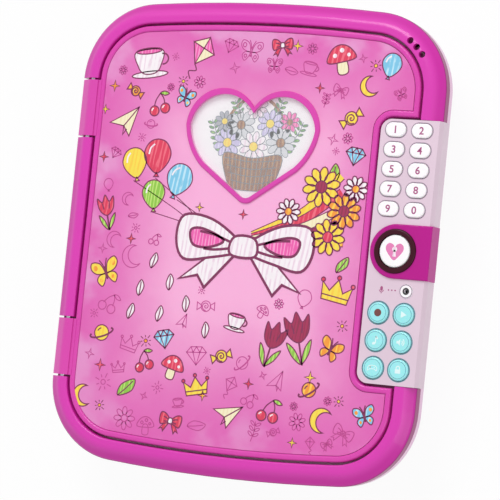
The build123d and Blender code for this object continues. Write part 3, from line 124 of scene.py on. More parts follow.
class Recipe:
    """A material while it is written: its nodes and the shader that they feed."""

    def __init__(self, name: str, world: bpy.types.World | None = None) -> None:
        """Start a material with a Principled shader joined to its output, or clear a world's nodes.

        Args:
            name: The material's name.
            world: The world to write instead of a material.
        """
        self.material = world or bpy.data.materials.new(name)
        self.material.use_nodes = True
        self.tree = self.material.node_tree
        self.tree.nodes.clear()
        if world is None:
            self.shader = self.node("ShaderNodeBsdfPrincipled")
            self.output = self.node("ShaderNodeOutputMaterial", inputs={"Surface": self.shader.outputs[0]})

    def node(self, kind: str, settings: dict | None = None, inputs: dict | None = None) -> bpy.types.Node:
        """Add one node.

        Args:
            kind: The node's type.
            settings: Its own options, with "stops" for a ramp's places and colours.
            inputs: Values or links of its sockets, by name or number.

        Returns:
            The node.
        """
        made = self.tree.nodes.new(kind)
        for key, value in (settings or {}).items():
            if key == "stops":
                self._set_stops(made.color_ramp, value)
            else:
                setattr(made, key, value)
        for key, value in (inputs or {}).items():
            self.feed(made.inputs[key], value)
        return made

    @staticmethod
    def _set_stops(ramp: bpy.types.ColorRamp, stops: Sequence[tuple[float, Rgb]]) -> None:
        """Give a ramp its places and colours."""
        while len(ramp.elements) < len(stops):
            ramp.elements.new(1.0)
        for element, (place, colour) in zip(ramp.elements, stops):
            element.position = place
            element.color = (*colour, 1.0)

    def feed(self, socket: bpy.types.NodeSocket, value: object) -> None:
        """Set a socket's value, or link another socket to it."""
        if isinstance(value, Value):
            value = value.socket
        if isinstance(value, bpy.types.NodeSocket):
            self.tree.links.new(value, socket)
        elif isinstance(value, tuple) and len(value) == 3 and socket.type == "RGBA":
            socket.default_value = (*value, 1.0)
        else:
            socket.default_value = value

    def number(self, kind: str, settings: dict, inputs: dict, output: int | str = 0) -> Value:
        """Add a node and wrap its number output."""
        return Value(self, self.node(kind, settings, inputs).outputs[output])

    def set(self, **values: object) -> None:
        """Set the shader's sockets; underscores stand for spaces."""
        for key, value in values.items():
            self.feed(self.shader.inputs[key.replace("_", " ")], value)

    def place(self) -> bpy.types.NodeSocket:
        """Return the place on the object, in metres."""
        return self.node("ShaderNodeTexCoord").outputs["Object"]

    def turned(self, degrees: float, stretch: Sequence[float] = (1, 1, 1)) -> bpy.types.NodeSocket:
        """Return the place on the object turned about Z and then stretched."""
        rotation = (0, 0, math.radians(degrees))
        inputs = {"Vector": self.place(), "Rotation": rotation, "Scale": tuple(stretch)}
        return self.node("ShaderNodeMapping", {"vector_type": "POINT"}, inputs).outputs[0]

    def axes(self) -> tuple[Value, Value, Value]:
        """Return the place on the object as three numbers."""
        parts = self.node("ShaderNodeSeparateXYZ", inputs={0: self.place()}).outputs
        return Value(self, parts[0]), Value(self, parts[1]), Value(self, parts[2])

    def noise(self, grain: float, detail: float = 2.0, where: object = None) -> Value:
        """Return a cloudy pattern whose blobs are about grain metres across."""
        inputs = {"Vector": where or self.place(), "Scale": 1 / grain, "Detail": detail}
        return self.number("ShaderNodeTexNoise", {}, inputs, "Fac")

    def blend(self, share: object, low: object, high: object, mode: str = "MIX") -> bpy.types.NodeSocket:
        """Mix two colours by a share from 0 to 1."""
        settings = {"data_type": "RGBA", "blend_type": mode}
        mixed = self.node("ShaderNodeMix", settings, {0: share, 6: low, 7: high})
        return mixed.outputs[2]

    def relief(self, height: object, strength: float, depth: float) -> None:
        """Raise the surface by a height pattern."""
        inputs = {"Height": height, "Strength": strength, "Distance": depth}
        self.set(Normal=self.node("ShaderNodeBump", inputs=inputs).outputs[0])


# ---- finishes ---------------------------------------------------------------------------------------
@dataclass(frozen=True)
class Moulded:
    """Moulded plastic: a colour with faint clouds, fine texture, a glossy skin and at times a painted glow.
    """

    name: str
    colour: str
    gloss: float = 0.7
    coat: float = 0.3
    clouds: float = 0.05
    cloud_size: float = 0.03
    grain: float = 0.08
    grain_size: float = 0.0004
    metal: float = 0.0
    glow: float = 0.0
    shine: float = 0.5
    # strength of a painted glow in the plastic's own colour
    lift: float = 0.0

    def material(self) -> bpy.types.Material:
        """Return the finish as a material."""
        recipe = Recipe(self.name)
        base = linear(self.colour)
        darker = tuple(v * (1 - 2 * self.clouds) for v in base)
        drift = recipe.noise(self.cloud_size, 3.0)
        recipe.set(Base_Color=recipe.blend(drift, darker, base), Metallic=self.metal)
        speck = recipe.noise(self.grain_size, 1.0)
        recipe.set(Roughness=speck * 0.08 + (1 - self.gloss))
        recipe.set(Coat_Weight=self.coat, Coat_Roughness=0.08)
        recipe.set(Specular_IOR_Level=self.shine)
        # painted glow: the plastic gives off a little of its own colour, standing in for light through it
        if self.lift:
            recipe.set(Emission_Color=base, Emission_Strength=self.lift)
        if self.glow:
            recipe.set(Subsurface_Weight=self.glow, Subsurface_Radius=(0.004, 0.002, 0.003))
        recipe.relief(speck, self.grain, 0.00005)
        return recipe.material


@dataclass(frozen=True)
class GlossyRim:
    """The rim's magenta plastic: painted highlight on its crest, painted shade down its side wall, faint
    painted glow.
    """

    name: str
    # the crest colour is a painted highlight and the wall colour is painted shade; the slope colour is the
    # plastic's own
    crest: str
    slope: str
    wall: str
    crest_height: float = 39.7
    slope_height: float = 37.2
    wall_height: float = 35.9

    def material(self) -> bpy.types.Material:
        """Return the finish as a material."""
        recipe = Recipe(self.name)
        height = recipe.axes()[2] * (1 / MM)
        # painted highlight lightens the crest and painted shade darkens the side wall, both set by height
        crest_highlight_share = height.rise(self.slope_height, self.crest_height)
        clear_of_wall_shade = height.rise(self.wall_height - 0.5, self.wall_height)
        colour = recipe.blend(crest_highlight_share, linear(self.slope), linear(self.crest))
        colour = recipe.blend(clear_of_wall_shade, linear(self.wall), colour)
        drift = recipe.noise(0.05, 2.0)
        shade = recipe.blend(drift, (0.93, 0.9, 0.93), (1.0, 1.0, 1.0))
        recipe.set(Base_Color=recipe.blend(1.0, colour, shade, "MULTIPLY"), Specular_IOR_Level=0.3)
        # painted glow: the rim gives off a little of its wall colour, standing in for light through the
        # plastic
        recipe.set(Emission_Color=linear(self.wall), Emission_Strength=0.12)
        speck = recipe.noise(0.0005, 1.0)
        recipe.set(Roughness=speck * 0.06 + 0.3, Coat_Weight=0.25, Coat_Roughness=0.08)
        recipe.relief(speck, 0.05, 0.00004)
        return recipe.material


@dataclass(frozen=True)
class FrostedPanel:
    """The cover's translucent panel: pink, paler in the middle and frosted near its edge."""

    name: str
    middle: str
    outer: str
    frost: str
    half_width: float = 83.2
    half_height: float = 102.2

    def material(self) -> bpy.types.Material:
        """Return the finish as a material."""
        recipe = Recipe(self.name)
        x, y, _ = recipe.axes()
        across = abs(x * (1 / (self.half_width * MM)))
        up = abs(y * (1 / (self.half_height * MM)))
        edge = across.larger(up)
        mottle = recipe.noise(0.028, 3.0)
        reach = edge + (mottle - 0.5) * 0.35
        tone = recipe.blend(reach.rise(0.25, 1.0), linear(self.middle), linear(self.outer))
        lit = reach.rise(0.78, 0.98) * mottle.rise(0.42, 0.62) * 0.5
        tone = recipe.blend(lit, tone, linear(self.frost))
        low = (y * (-1 / (self.half_height * MM))).rise(0.35, 1.1) * 0.35
        tone = recipe.blend(low, tone, linear(self.outer))
        recipe.set(Base_Color=tone)
        speck = recipe.noise(0.0006, 2.0)
        recipe.set(Roughness=speck * 0.1 + 0.3, Coat_Weight=0.35, Coat_Roughness=0.15)
        recipe.set(Subsurface_Weight=0.15, Subsurface_Radius=(0.002, 0.001, 0.0015))
        recipe.relief(speck, 0.08, 0.00004)
        return recipe.material


@dataclass(frozen=True)
class ClearLens:
    """Thin clear plastic over the window."""

    name: str = "clear_lens"
    cover: float = 0.1

    def material(self) -> bpy.types.Material:
        """Return the finish as a material."""
        recipe = Recipe(self.name)
        recipe.set(Base_Color=(0.96, 0.96, 0.98), Roughness=0.06, Alpha=self.cover)
        return recipe.material


@dataclass(frozen=True)
class Ink:
    """Printed ink: a colour with pencil strokes of a second tone laid across it."""

    name: str
    colour: str
    stroke: str = ""
    share: float = 0.5
    lean: float = 40.0
    pitch: float = 1.7

    def material(self) -> bpy.types.Material:
        """Return the finish as a material."""
        recipe = Recipe(self.name)
        base = linear(self.colour)
        patch = recipe.noise(0.006, 3.0)
        colour = recipe.blend(patch, tuple(v * 0.86 for v in base), base)
        if self.stroke:
            along = recipe.turned(self.lean, (1, 0.12, 1))
            wobble = recipe.noise(0.0035, 2.0, along)
            across = Value(recipe, recipe.node("ShaderNodeSeparateXYZ", inputs={0: along}).outputs[0])
            wave = (across * (2 * math.pi / (self.pitch * MM)) + wobble * 9.0).sine()
            mask = wave.rise(0.1, 0.75) * patch.rise(0.3, 0.5) * self.share
            colour = recipe.blend(mask, colour, linear(self.stroke))
        recipe.set(Base_Color=colour, Roughness=patch * 0.08 + 0.3)
        recipe.set(Coat_Weight=0.35, Coat_Roughness=0.15)
        return recipe.material


class Stock(Enum):
    """The diary's own plastics, metals, paper and rubber."""

    # rim colours: crest with a painted highlight, the slope's own magenta, side wall in painted shade
    RIM = GlossyRim("magenta_gloss", "D536AE", "C41C9C", "8A1266")
    # the lid and the tab carry a faint painted glow
    LID = Moulded("magenta_lid", "D43EA8", gloss=0.72, coat=0.3, clouds=0.04, grain=0.05, shine=0.3,
        lift=0.06)
    SHELL = Moulded("lilac_shell", "EDC6E2", gloss=0.6, coat=0.2, clouds=0.03, glow=0.1)
    SILVER = Moulded("lilac_silver", "E0C8D8", gloss=0.66, coat=0.4, clouds=0.07, cloud_size=0.02,
        metal=0.35, grain_size=0.0002)
    TAB = Moulded("pink_tab", "B41088", gloss=0.72, coat=0.2, clouds=0.05, shine=0.15, lift=0.06)
    PANEL = FrostedPanel("printed_panel", "F2ACD6", "DA5AB0", "E6B6DC")
    WHITE_KEY = Moulded("white_key", "FBF7FA", gloss=0.65, coat=0.2, clouds=0.02, glow=0.1)
    TURQUOISE_KEY = Moulded("turquoise_key", "9CEAEE", gloss=0.65, coat=0.3, clouds=0.04, glow=0.2)
    PLUM = Moulded("plum_ring", "3C0019", gloss=0.7, coat=0.1, shine=0.15, clouds=0.08)
    LENS = ClearLens()
    CARD = Moulded("printed_card", "F4F1F3", gloss=0.4, coat=0.3, clouds=0.03, cloud_size=0.01)
    TRAY = Moulded("pale_tray", "EFCFE6", gloss=0.45, coat=0.1, clouds=0.03, grain=0.2, grain_size=0.0007)
    RUBBER = Moulded("rubber_mat", "C9CAD0", gloss=0.3, coat=0.0)
    BOARD = Moulded("board_green", "1F6B3B", gloss=0.6, coat=0.3, clouds=0.1, cloud_size=0.004)
    BLACK = Moulded("black_plastic", "1A1A1D", gloss=0.5, coat=0.2)
    STEEL = Moulded("steel", "B9BBC0", gloss=0.68, coat=0.0, metal=1.0, grain=0.15)
    ACETAL = Moulded("white_plastic", "EFEFEA", gloss=0.55, coat=0.1)
    PAPER = Moulded("paper", "FBF8F0", gloss=0.12, coat=0.0, clouds=0.03, cloud_size=0.008, grain=0.25)
    COVER_CARD = Moulded("notepad_card", "F7A9D6", gloss=0.4, coat=0.15, clouds=0.04)
    JACKET = Moulded("cell_jacket", "C3C7CE", gloss=0.7, coat=0.3, metal=0.6)
    WIRE = Moulded("wire_red", "B5201E", gloss=0.5, coat=0.2)
    BRASS = Moulded("brass", "D3B25A", gloss=0.7, coat=0.0, metal=1.0)


class Tint(Enum):
    """The inks of the prints, and of the painted shade round the keys and the microphone."""

    PLUM = Ink("ink_plum", "7A1350")
    WINE = Ink("ink_wine", "A3134F", "7E0E3C", 0.8, 38.0, 1.3)
    CRIMSON = Ink("ink_crimson", "DE2C55", "F4788A", 0.6, 52.0, 1.5)
    ROSE = Ink("ink_rose", "F05AAE", "FBB3DC", 0.6, 25.0, 1.6)
    ORANGE = Ink("ink_orange", "F79A2D", "FBD34F", 0.8, 60.0, 1.6)
    YELLOW = Ink("ink_yellow", "FBE04A", "F5B32C", 0.5, 45.0, 1.7)
    CREAM = Ink("ink_cream", "F8EFC9", "E9CFA0", 0.4, 30.0, 1.6)
    GREEN = Ink("ink_green", "8CC63E", "D7EE86", 0.6, 35.0, 1.5)
    SKY = Ink("ink_sky", "7CC8EA", "D8F2FB", 0.6, 50.0, 1.6)
    WHITE = Ink("ink_white", "FBF3F8", "D9A6C8", 0.45, 42.0, 2.0)
    LINE = Ink("ink_line", "C23E90")
    MAUVE = Ink("ink_mauve", "A8487F")
    PINK = Ink("ink_pink", "E77DB8")
    GREY = Ink("ink_grey", "6F7C86")
    TEAL = Ink("ink_teal", "3E8291")
    RUST = Ink("ink_rust", "6E3430")
    BLACK = Ink("ink_black", "17121A")
    ICON = Ink("ink_icon", "E4FBFC")
    # painted shade for the gaps round the number keys and the microphone's bezel
    SEAM = Ink("ink_seam", "A793A6")
    BROWN = Ink("ink_brown", "8A5A3A", "B98A5A", 0.8, 0.0, 2.2)
    LEAF = Ink("ink_leaf", "5E9A4A", "9CCB6A", 0.7, 65.0, 1.4)
    LILAC = Ink("ink_lilac", "C9BFE6", "EDE8F8", 0.6, 20.0, 1.5)
    PALE_GREY = Ink("ink_pale_grey", "D9DADF")
    SHADE = Ink("ink_shade", "A9ABB6")


MATERIALS: dict[Enum, bpy.types.Material] = {}


def finish(kind: Enum) -> bpy.types.Material:
    """Return the material of a finish, written on first use."""
    if kind not in MATERIALS:
        MATERIALS[kind] = kind.value.material()
    return MATERIALS[kind]


NODE_FINISHES: dict[Stock, tuple[str, ...]] = {
    Stock.RIM: ("upper_casing",),
    Stock.LID: ("lid_frame", "heart_bezel"),
    Stock.SHELL: ("back_shell", "battery_door"),
    Stock.SILVER: ("keypad_faceplate",),
    Stock.TAB: ("latch_tab",),
    Stock.PANEL: ("cover_panel",),
    Stock.WHITE_KEY: ("unlock_button", "mic_bezel", *(f"key_{digit}" for digit in range(10))),
    Stock.TURQUOISE_KEY: ("record_key", "play_key", "music_key", "voice_key", "game_key", "lock_key"),
    Stock.PLUM: ("button_bezel",),
    Stock.LENS: ("heart_lens",),
    Stock.CARD: ("picture_card",),
    Stock.TRAY: ("inner_tray", "lid_liner"),
    Stock.RUBBER: ("number_key_mat", "function_key_mat"),
    Stock.BOARD: ("circuit_board",),
    Stock.BLACK: ("board_parts", "microphone", "speaker"),
    Stock.STEEL: (
        "hinge_pins", "lid_catch", "latch_motor", "latch_screws", "board_screws", "case_screws",
        "liner_screws", "battery_door_screw", "battery_contacts",
    ),
    Stock.ACETAL: ("latch_housing", "latch_slide", "speaker_clamp"),
    Stock.BRASS: ("latch_gear",),
    Stock.PAPER: ("notepad_pages",),
    Stock.COVER_CARD: ("notepad_cover", "notepad_board", "notepad_binding"),
    Stock.JACKET: ("battery_cell_1", "battery_cell_2", "battery_cell_3"),
    Stock.WIRE: ("battery_wires", "speaker_wires", "motor_wires"),
}


def dress_nodes() -> int:
    """Give every CAD node its finish.

    Returns:
        How many nodes were dressed.
    """
    count = 0
    for stock, names in NODE_FINISHES.items():
        for name in names:
            for place in NODES[name].material_slots:
                place.material = finish(stock)
            count += 1
    return count


# ---- drawing ----------------------------------------------------------------------------------------
def ellipse(x: float, y: float, rx: float, ry: float, start: float = 0, end: float = 360,
    count: int = 20) -> list[Point]:
    """Return points on an ellipse; a whole one has no doubled end."""
    whole = abs(end - start) >= 360
    steps = count if whole else count - 1
    turns = [math.radians(start + (end - start) * i / steps) for i in range(count)]
    return [(x + rx * math.cos(t), y + ry * math.sin(t)) for t in turns]


def smooth(points: Sequence[Point], closed: bool = True, steps: int = 5) -> list[Point]:
    """Run a rounded line through the points.

    Args:
        points: The points that the line passes.
        closed: Whether the line comes back to its start.
        steps: How many pieces each run is cut into.

    Returns:
        The points of the finer line.
    """
    count = len(points)
    runs = count if closed else count - 1
    line = []
    for i in range(runs):
        around = [i + k for k in (-1, 0, 1, 2)]
        near = [points[j % count] if closed else points[min(max(j, 0), count - 1)] for j in around]
        for step in range(steps):
            t = step / steps
            weights = (
                -0.5 * t + t**2 - 0.5 * t**3, 1 - 2.5 * t**2 + 1.5 * t**3,
                0.5 * t + 2 * t**2 - 1.5 * t**3, -0.5 * t**2 + 0.5 * t**3,
            )
            line.append(tuple(sum(w * p[axis] for w, p in zip(weights, near)) for axis in (0, 1)))
    if not closed:
        line.append(tuple(points[-1]))
    return line


def mirrored(points: Sequence[Point]) -> list[Point]:
    """Return the points mirrored left to right."""
    return [(-x, y) for x, y in points]


def turned(points: Iterable[Point], degrees: float, x: float = 0, y: float = 0) -> list[Point]:
    """Turn points about zero and then move them."""
    c, s = math.cos(math.radians(degrees)), math.sin(math.radians(degrees))
    return [(x + c * px - s * py, y + s * px + c * py) for px, py in points]


@dataclass
class Sketch:
    """A print in thin ink: flat shapes and pen lines, each layer a hair above the one before."""

    name: str
    body: str
    slot: str
    base: float
    film: float = 0.02
    sink: float = 0.01
    shapes: list[tuple[Enum, list[Point], list[Point] | None, int]] = field(default_factory=list)

    def fill(self, tint: Enum, points: Sequence[Point], layer: int = 0) -> None:
        """Lay down a filled shape."""
        area = sum(a[0] * b[1] - b[0] * a[1] for a, b in zip(points, [*points[1:], points[0]]))
        ordered = list(points) if area > 0 else list(reversed(points))
        self.shapes.append((tint, ordered, None, layer))

    def pen(self, tint: Enum, points: Sequence[Point], width: float, closed: bool = False,
        layer: int = 1) -> None:
        """Draw a pen line of a width, with mitred corners."""
        kept = [p for i, p in enumerate(points) if i == 0 or math.dist(p, points[i - 1]) > 0.02]
        if closed and math.dist(kept[0], kept[-1]) < 0.02:
            kept.pop()
        count = len(kept)
        if count < 2:
            return
        left, right = [], []
        for i, (x, y) in enumerate(kept):
            before = kept[i - 1] if closed or i else kept[i]
            after = kept[(i + 1) % count] if closed or i < count - 1 else kept[i]
            ways = [Vector((b[0] - a[0], b[1] - a[1])) for a, b in ((before, (x, y)), ((x, y), after))]
            ways = [way.normalized() for way in ways if way.length > 1e-6]
            normals = [Vector((-way.y, way.x)) for way in ways]
            middle = sum(normals, Vector((0, 0)))
            middle = middle.normalized() if middle.length > 1e-3 else normals[0]
            reach = width / 2 / max(middle.dot(normals[0]), MITRE_LIMIT)
            left.append((x + middle.x * reach, y + middle.y * reach))
            right.append((x - middle.x * reach, y - middle.y * reach))
        if closed:
            left.append(left[0])
            right.append(right[0])
        self.shapes.append((tint, left, right, layer))

    def lay(self, bm: bmesh.types.BMesh, shape: tuple, index: int) -> None:
        """Build one shape as a closed film."""
        _, left, right, layer = shape
        low, high = (self.base - self.sink) * MM, (self.base + self.film * (layer + 1)) * MM
        edge = left if right is None else left + right[::-1]
        if right is None:
            top = [bm.verts.new((x * MM, y * MM, high)) for x, y in edge]
            bottom = [bm.verts.new((x * MM, y * MM, low)) for x, y in edge]
            rings = [top, bottom[::-1]]
            rings += [[bottom[i - 1], bottom[i], top[i], top[i - 1]] for i in range(len(edge))]
        else:
            looped = left[0] == left[-1]
            cut = left[:-1] if looped else left
            count = len(cut)
            sides = (left[:count], right[:count])
            lt, rt = ([bm.verts.new((x * MM, y * MM, high)) for x, y in side] for side in sides)
            lb, rb = ([bm.verts.new((x * MM, y * MM, low)) for x, y in side] for side in sides)
            rings = []
            for i in range(count if looped else count - 1):
                j = (i + 1) % count
                rings += [[rt[i], rt[j], lt[j], lt[i]], [lb[i], lb[j], rb[j], rb[i]]]
                rings += [[lt[i], lt[j], lb[j], lb[i]], [rb[i], rb[j], rt[j], rt[i]]]
            if not looped:
                rings += [[rt[0], lt[0], lb[0], rb[0]], [lt[-1], rt[-1], rb[-1], lb[-1]]]
        for ring in rings:
            bm.faces.new(ring).material_index = index

    def build(self) -> bpy.types.Object:
        """Make the print's mesh and let it ride on its body.

        Returns:
            The print.
        """
        tints = sorted({shape[0] for shape in self.shapes}, key=lambda tint: tint.name)
        bm = bmesh.new()
        for shape in self.shapes:
            self.lay(bm, shape, tints.index(shape[0]))
        mesh = bpy.data.meshes.new(self.name)
        bm.to_mesh(mesh)
        bm.free()
        for tint in tints:
            mesh.materials.append(finish(tint))
        return add_piece(mesh, self.body)


def add_piece(mesh: bpy.types.Mesh, body: str) -> bpy.types.Object:
    """Put a mesh in the scene as a piece that rides on a body."""
    piece = bpy.data.objects.new(mesh.name, mesh)
    bpy.context.scene.collection.objects.link(piece)
    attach(piece, body)
    log.info("%s rides on %s with %d faces", piece.name, body, len(mesh.polygons))
    return piece


@dataclass
class Pencil:
    """Draws one motif at its own place, size and turn, in outline alone or filled."""

    sketch: Sketch
    x: float
    y: float
    size: float
    lean: float = 0.0
    outline: Tint = Tint.PLUM
    width: float = 0.6
    filled: bool = True
    layer: int = 0
    stretch: tuple[float, float] = (1.0, 1.0)

    def at(self, points: Iterable[Point]) -> list[Point]:
        """Move points of the motif to their place on the print."""
        scaled = [(x * self.size * self.stretch[0], y * self.size * self.stretch[1]) for x, y in points]
        return turned(scaled, self.lean, self.x, self.y)

    def shape(self, tint: Tint, points: Sequence[Point], up: int = 0, edge: bool = True) -> None:
        """Draw a closed shape, filled where the pencil fills."""
        placed = self.at(points)
        if self.filled:
            self.sketch.fill(tint, placed, self.layer + up)
        if edge or not self.filled:
            self.sketch.pen(self.outline, placed, self.width, True, self.layer + up + 1)

    def line(self, points: Sequence[Point], up: int = 1, tint: Tint | None = None, wide: float = 1.0) -> None:
        """Draw an open line."""
        self.sketch.pen(tint or self.outline, self.at(points), self.width * wide, False, self.layer + up)


def daisy(pencil: Pencil, petal: Tint = Tint.WHITE, eye: Tint = Tint.YELLOW, count: int = 8) -> None:
    """A round flower with loose petals."""
    for i in range(count):
        ring = turned(ellipse(0.62, 0, 0.36, 0.21, count=12), 360 * i / count)
        pencil.shape(petal, ring)
    pencil.shape(eye, ellipse(0, 0, 0.3, 0.3, count=14), 2)


def tulip(pencil: Pencil, cup: Tint = Tint.CRIMSON, leaf: Tint = Tint.GREEN) -> None:
    """A tulip on its stem with two leaves."""
    pencil.line([(0, -0.1), (0.04, -1.0)], wide=1.6, tint=None)
    blade = smooth([(0.02, -0.95), (0.35, -0.6), (0.5, -0.1), (0.2, -0.4)])
    pencil.shape(leaf, blade)
    pencil.shape(leaf, mirrored(blade))
    pencil.shape(cup,
        smooth([(-0.42, 0.2), (-0.5, 0.85), (-0.22, 0.6), (0, 1.0), (0.22, 0.6), (0.5, 0.85), (0.42, 0.2),
            (0, -0.15)]), 2)
    pencil.line([(-0.22, 0.55), (-0.16, 0.2)], 4)
    pencil.line([(0.22, 0.55), (0.16, 0.2)], 4)


def butterfly(pencil: Pencil, wing: Tint = Tint.YELLOW, spot: Tint = Tint.ORANGE) -> None:
    """A butterfly seen from above."""
    upper = smooth([(0.06, 0.05), (0.3, 0.7), (0.85, 0.9), (1.0, 0.5), (0.7, 0.1), (0.1, -0.05)])
    lower = smooth([(0.06, -0.05), (0.55, -0.08), (0.75, -0.4), (0.5, -0.8), (0.2, -0.5)])
    for side in (list, mirrored):
        pencil.shape(wing, side(lower))
        pencil.shape(wing, side(upper))
        pencil.shape(spot, side(ellipse(0.68, 0.5, 0.16, 0.18, count=10)), 2, edge=False)
        pencil.shape(spot, side(ellipse(0.45, -0.4, 0.12, 0.14, count=10)), 2, edge=False)
        pencil.line(side([(0.03, 0.3), (0.12, 0.62), (0.28, 0.95)]))
    pencil.shape(Tint.PLUM, ellipse(0, 0, 0.07, 0.42, count=10), 3)


def moon(pencil: Pencil, tint: Tint = Tint.YELLOW) -> None:
    """A crescent."""
    outer = ellipse(0, 0, 1, 1, 55, 305, 22)
    inner = ellipse(0.42, 0, 0.84, 0.84, 270, 90, 16)
    pencil.shape(tint, outer + inner)


def balloon(pencil: Pencil, tint: Tint = Tint.SKY) -> None:
    """A balloon with its knot, string and shine."""
    pencil.shape(tint, [(-0.14, -0.98), (0, -0.76), (0.14, -0.98)])
    pencil.shape(tint,
        smooth([(0, -0.8), (0.55, -0.35), (0.78, 0.25), (0.5, 0.82), (0, 1), (-0.5, 0.82), (-0.78, 0.25),
            (-0.55, -0.35)]))
    if pencil.filled:
        pencil.line(smooth([(-0.5, 0.2), (-0.42, 0.52), (-0.2, 0.74)], False), 2, Tint.WHITE, 1.4)


def gem(pencil: Pencil, tint: Tint = Tint.SKY) -> None:
    """A cut stone."""
    pencil.shape(tint, [(-1, 0.25), (-0.55, 0.75), (0.55, 0.75), (1, 0.25), (0, -0.9)])
    pencil.line([(-1, 0.25), (1, 0.25)])
    pencil.line([(-0.55, 0.75), (-0.35, 0.25), (0, -0.9), (0.35, 0.25), (0.55, 0.75)])
    pencil.line([(-0.35, 0.25), (0, 0.75), (0.35, 0.25)])


def cherries(pencil: Pencil, tint: Tint = Tint.CRIMSON) -> None:
    """Two cherries on their stalks."""
    pencil.line(smooth([(-0.5, -0.2), (-0.25, 0.4), (0.2, 0.9)], False))
    pencil.line(smooth([(0.5, -0.1), (0.45, 0.4), (0.2, 0.9)], False))
    pencil.shape(Tint.GREEN, smooth([(0.2, 0.9), (0.6, 1.0), (1.0, 0.75), (0.6, 0.65)]))
    for x, y in ((-0.5, -0.5), (0.5, -0.42)):
        pencil.shape(tint, ellipse(x, y, 0.42, 0.42, count=16), 2)
        if pencil.filled:
            pencil.line(ellipse(x, y, 0.24, 0.24, 100, 170, 5), 4, Tint.WHITE)


def bow(pencil: Pencil, tint: Tint = Tint.WHITE, knot: Tint = Tint.WHITE) -> None:
    """A tied ribbon bow with two tails."""
    tail = [(0.06, -0.08), (0.5, -0.95), (0.62, -0.7), (0.88, -0.82), (0.3, 0.0)]
    loop = smooth([(0.08, 0.12), (0.5, 0.52), (0.92, 0.55), (1.0, 0.05), (0.86, -0.38), (0.48, -0.3),
        (0.08, -0.12)])
    hollow = smooth([(0.3, 0.1), (0.62, 0.3), (0.8, 0.24), (0.74, -0.06), (0.5, -0.08)])
    for side in (list, mirrored):
        pencil.shape(tint, side(tail))
        pencil.shape(tint, side(loop), 2)
        pencil.line(side(smooth([(0.2, 0.08), (0.45, 0.2), (0.66, 0.24)], False)), 4)
        pencil.line(side(smooth([(0.2, -0.06), (0.42, -0.12), (0.58, -0.12)], False)), 4)
        if pencil.size > 20:
            pencil.shape(Tint.ROSE, side(hollow), 3)
    pencil.shape(knot, smooth([(-0.15, 0.2), (0.15, 0.2), (0.18, -0.18), (-0.18, -0.18)]), 5)


def leaf(pencil: Pencil, tint: Tint = Tint.GREEN) -> None:
    """One leaf with its rib."""
    pencil.shape(tint, smooth([(-0.9, -0.2), (-0.3, 0.42), (0.9, 0.3), (0.3, -0.38)]))
    pencil.line(smooth([(-0.9, -0.2), (0, 0), (0.7, 0.22)], False))


def sprig(pencil: Pencil, tint: Tint = Tint.GREEN) -> None:
    """A stem with small leaves in pairs."""
    pencil.line(smooth([(0, -1), (0.1, 0), (0, 0.9)], False))
    for y in (-0.5, 0.0, 0.5):
        for side in (-1, 1):
            pencil.shape(tint, turned(ellipse(0.36, 0, 0.28, 0.12, count=10), 90 - side * 55, 0.05, y))


def paper_plane(pencil: Pencil, tint: Tint = Tint.CREAM) -> None:
    """A folded paper plane."""
    pencil.shape(tint, [(-1, 0.15), (1, 0.75), (0.15, -0.85), (-0.12, -0.2)])
    pencil.line([(1, 0.75), (-0.12, -0.2), (-0.25, -0.7), (0.05, -0.42)])


def planet(pencil: Pencil, tint: Tint = Tint.ORANGE) -> None:
    """A ringed planet."""
    pencil.shape(tint, ellipse(0, 0, 0.6, 0.6, count=20))
    pencil.line(turned(ellipse(0, 0, 1.0, 0.28, 150, 390, 20), 20), 2, wide=1.5)
    pencil.line(ellipse(0, 0, 0.36, 0.36, 100, 160, 6), 2)


def crown(pencil: Pencil, tint: Tint = Tint.YELLOW) -> None:
    """A three-pointed crown."""
    pencil.shape(tint,
        [(-0.85, -0.6), (-1, 0.45), (-0.45, 0.0), (0, 0.75), (0.45, 0.0), (1, 0.45), (0.85, -0.6)])
    pencil.line([(-0.88, -0.3), (0.88, -0.3)])
    for x, y in ((-1, 0.55), (0, 0.87), (1, 0.55)):
        pencil.shape(Tint.CRIMSON, ellipse(x, y, 0.13, 0.13, count=10), 2)


def mushroom(pencil: Pencil, tint: Tint = Tint.CRIMSON) -> None:
    """A spotted toadstool."""
    pencil.shape(Tint.CREAM, smooth([(-0.25, 0.1), (-0.32, -0.8), (0.32, -0.8), (0.25, 0.1)]))
    pencil.shape(tint, smooth([(-0.95, 0.0), (-0.6, 0.7), (0, 0.95), (0.6, 0.7), (0.95, 0.0), (0, -0.12)]), 2)
    for x, y, radius in ((-0.4, 0.35, 0.14), (0.1, 0.6, 0.15), (0.5, 0.25, 0.12)):
        pencil.shape(Tint.WHITE, ellipse(x, y, radius, radius, count=10), 3, edge=not pencil.filled)


def kite(pencil: Pencil, tint: Tint = Tint.WHITE, second: Tint = Tint.ROSE) -> None:
    """A kite with a wavy tail."""
    pencil.shape(tint, [(0, 1), (0.7, 0.35), (0, -0.6), (-0.7, 0.35)])
    pencil.shape(second, [(0, 1), (0.7, 0.35), (0, 0.35)], 1)
    pencil.shape(second, [(0, 0.35), (-0.7, 0.35), (0, -0.6)], 1)
    pencil.line(smooth([(0, -0.6), (0.25, -0.85), (-0.1, -1.1), (0.2, -1.4)], False))


def spark(pencil: Pencil, tint: Tint = Tint.ORANGE) -> None:
    """Short rays round a dot."""
    for i in range(8):
        inner, outer = (0.5, 1.0) if i % 2 else (0.5, 0.8)
        pencil.line(turned([(inner, 0), (outer, 0)], 45 * i + 10))
    pencil.shape(tint, ellipse(0, 0, 0.26, 0.26, count=10))


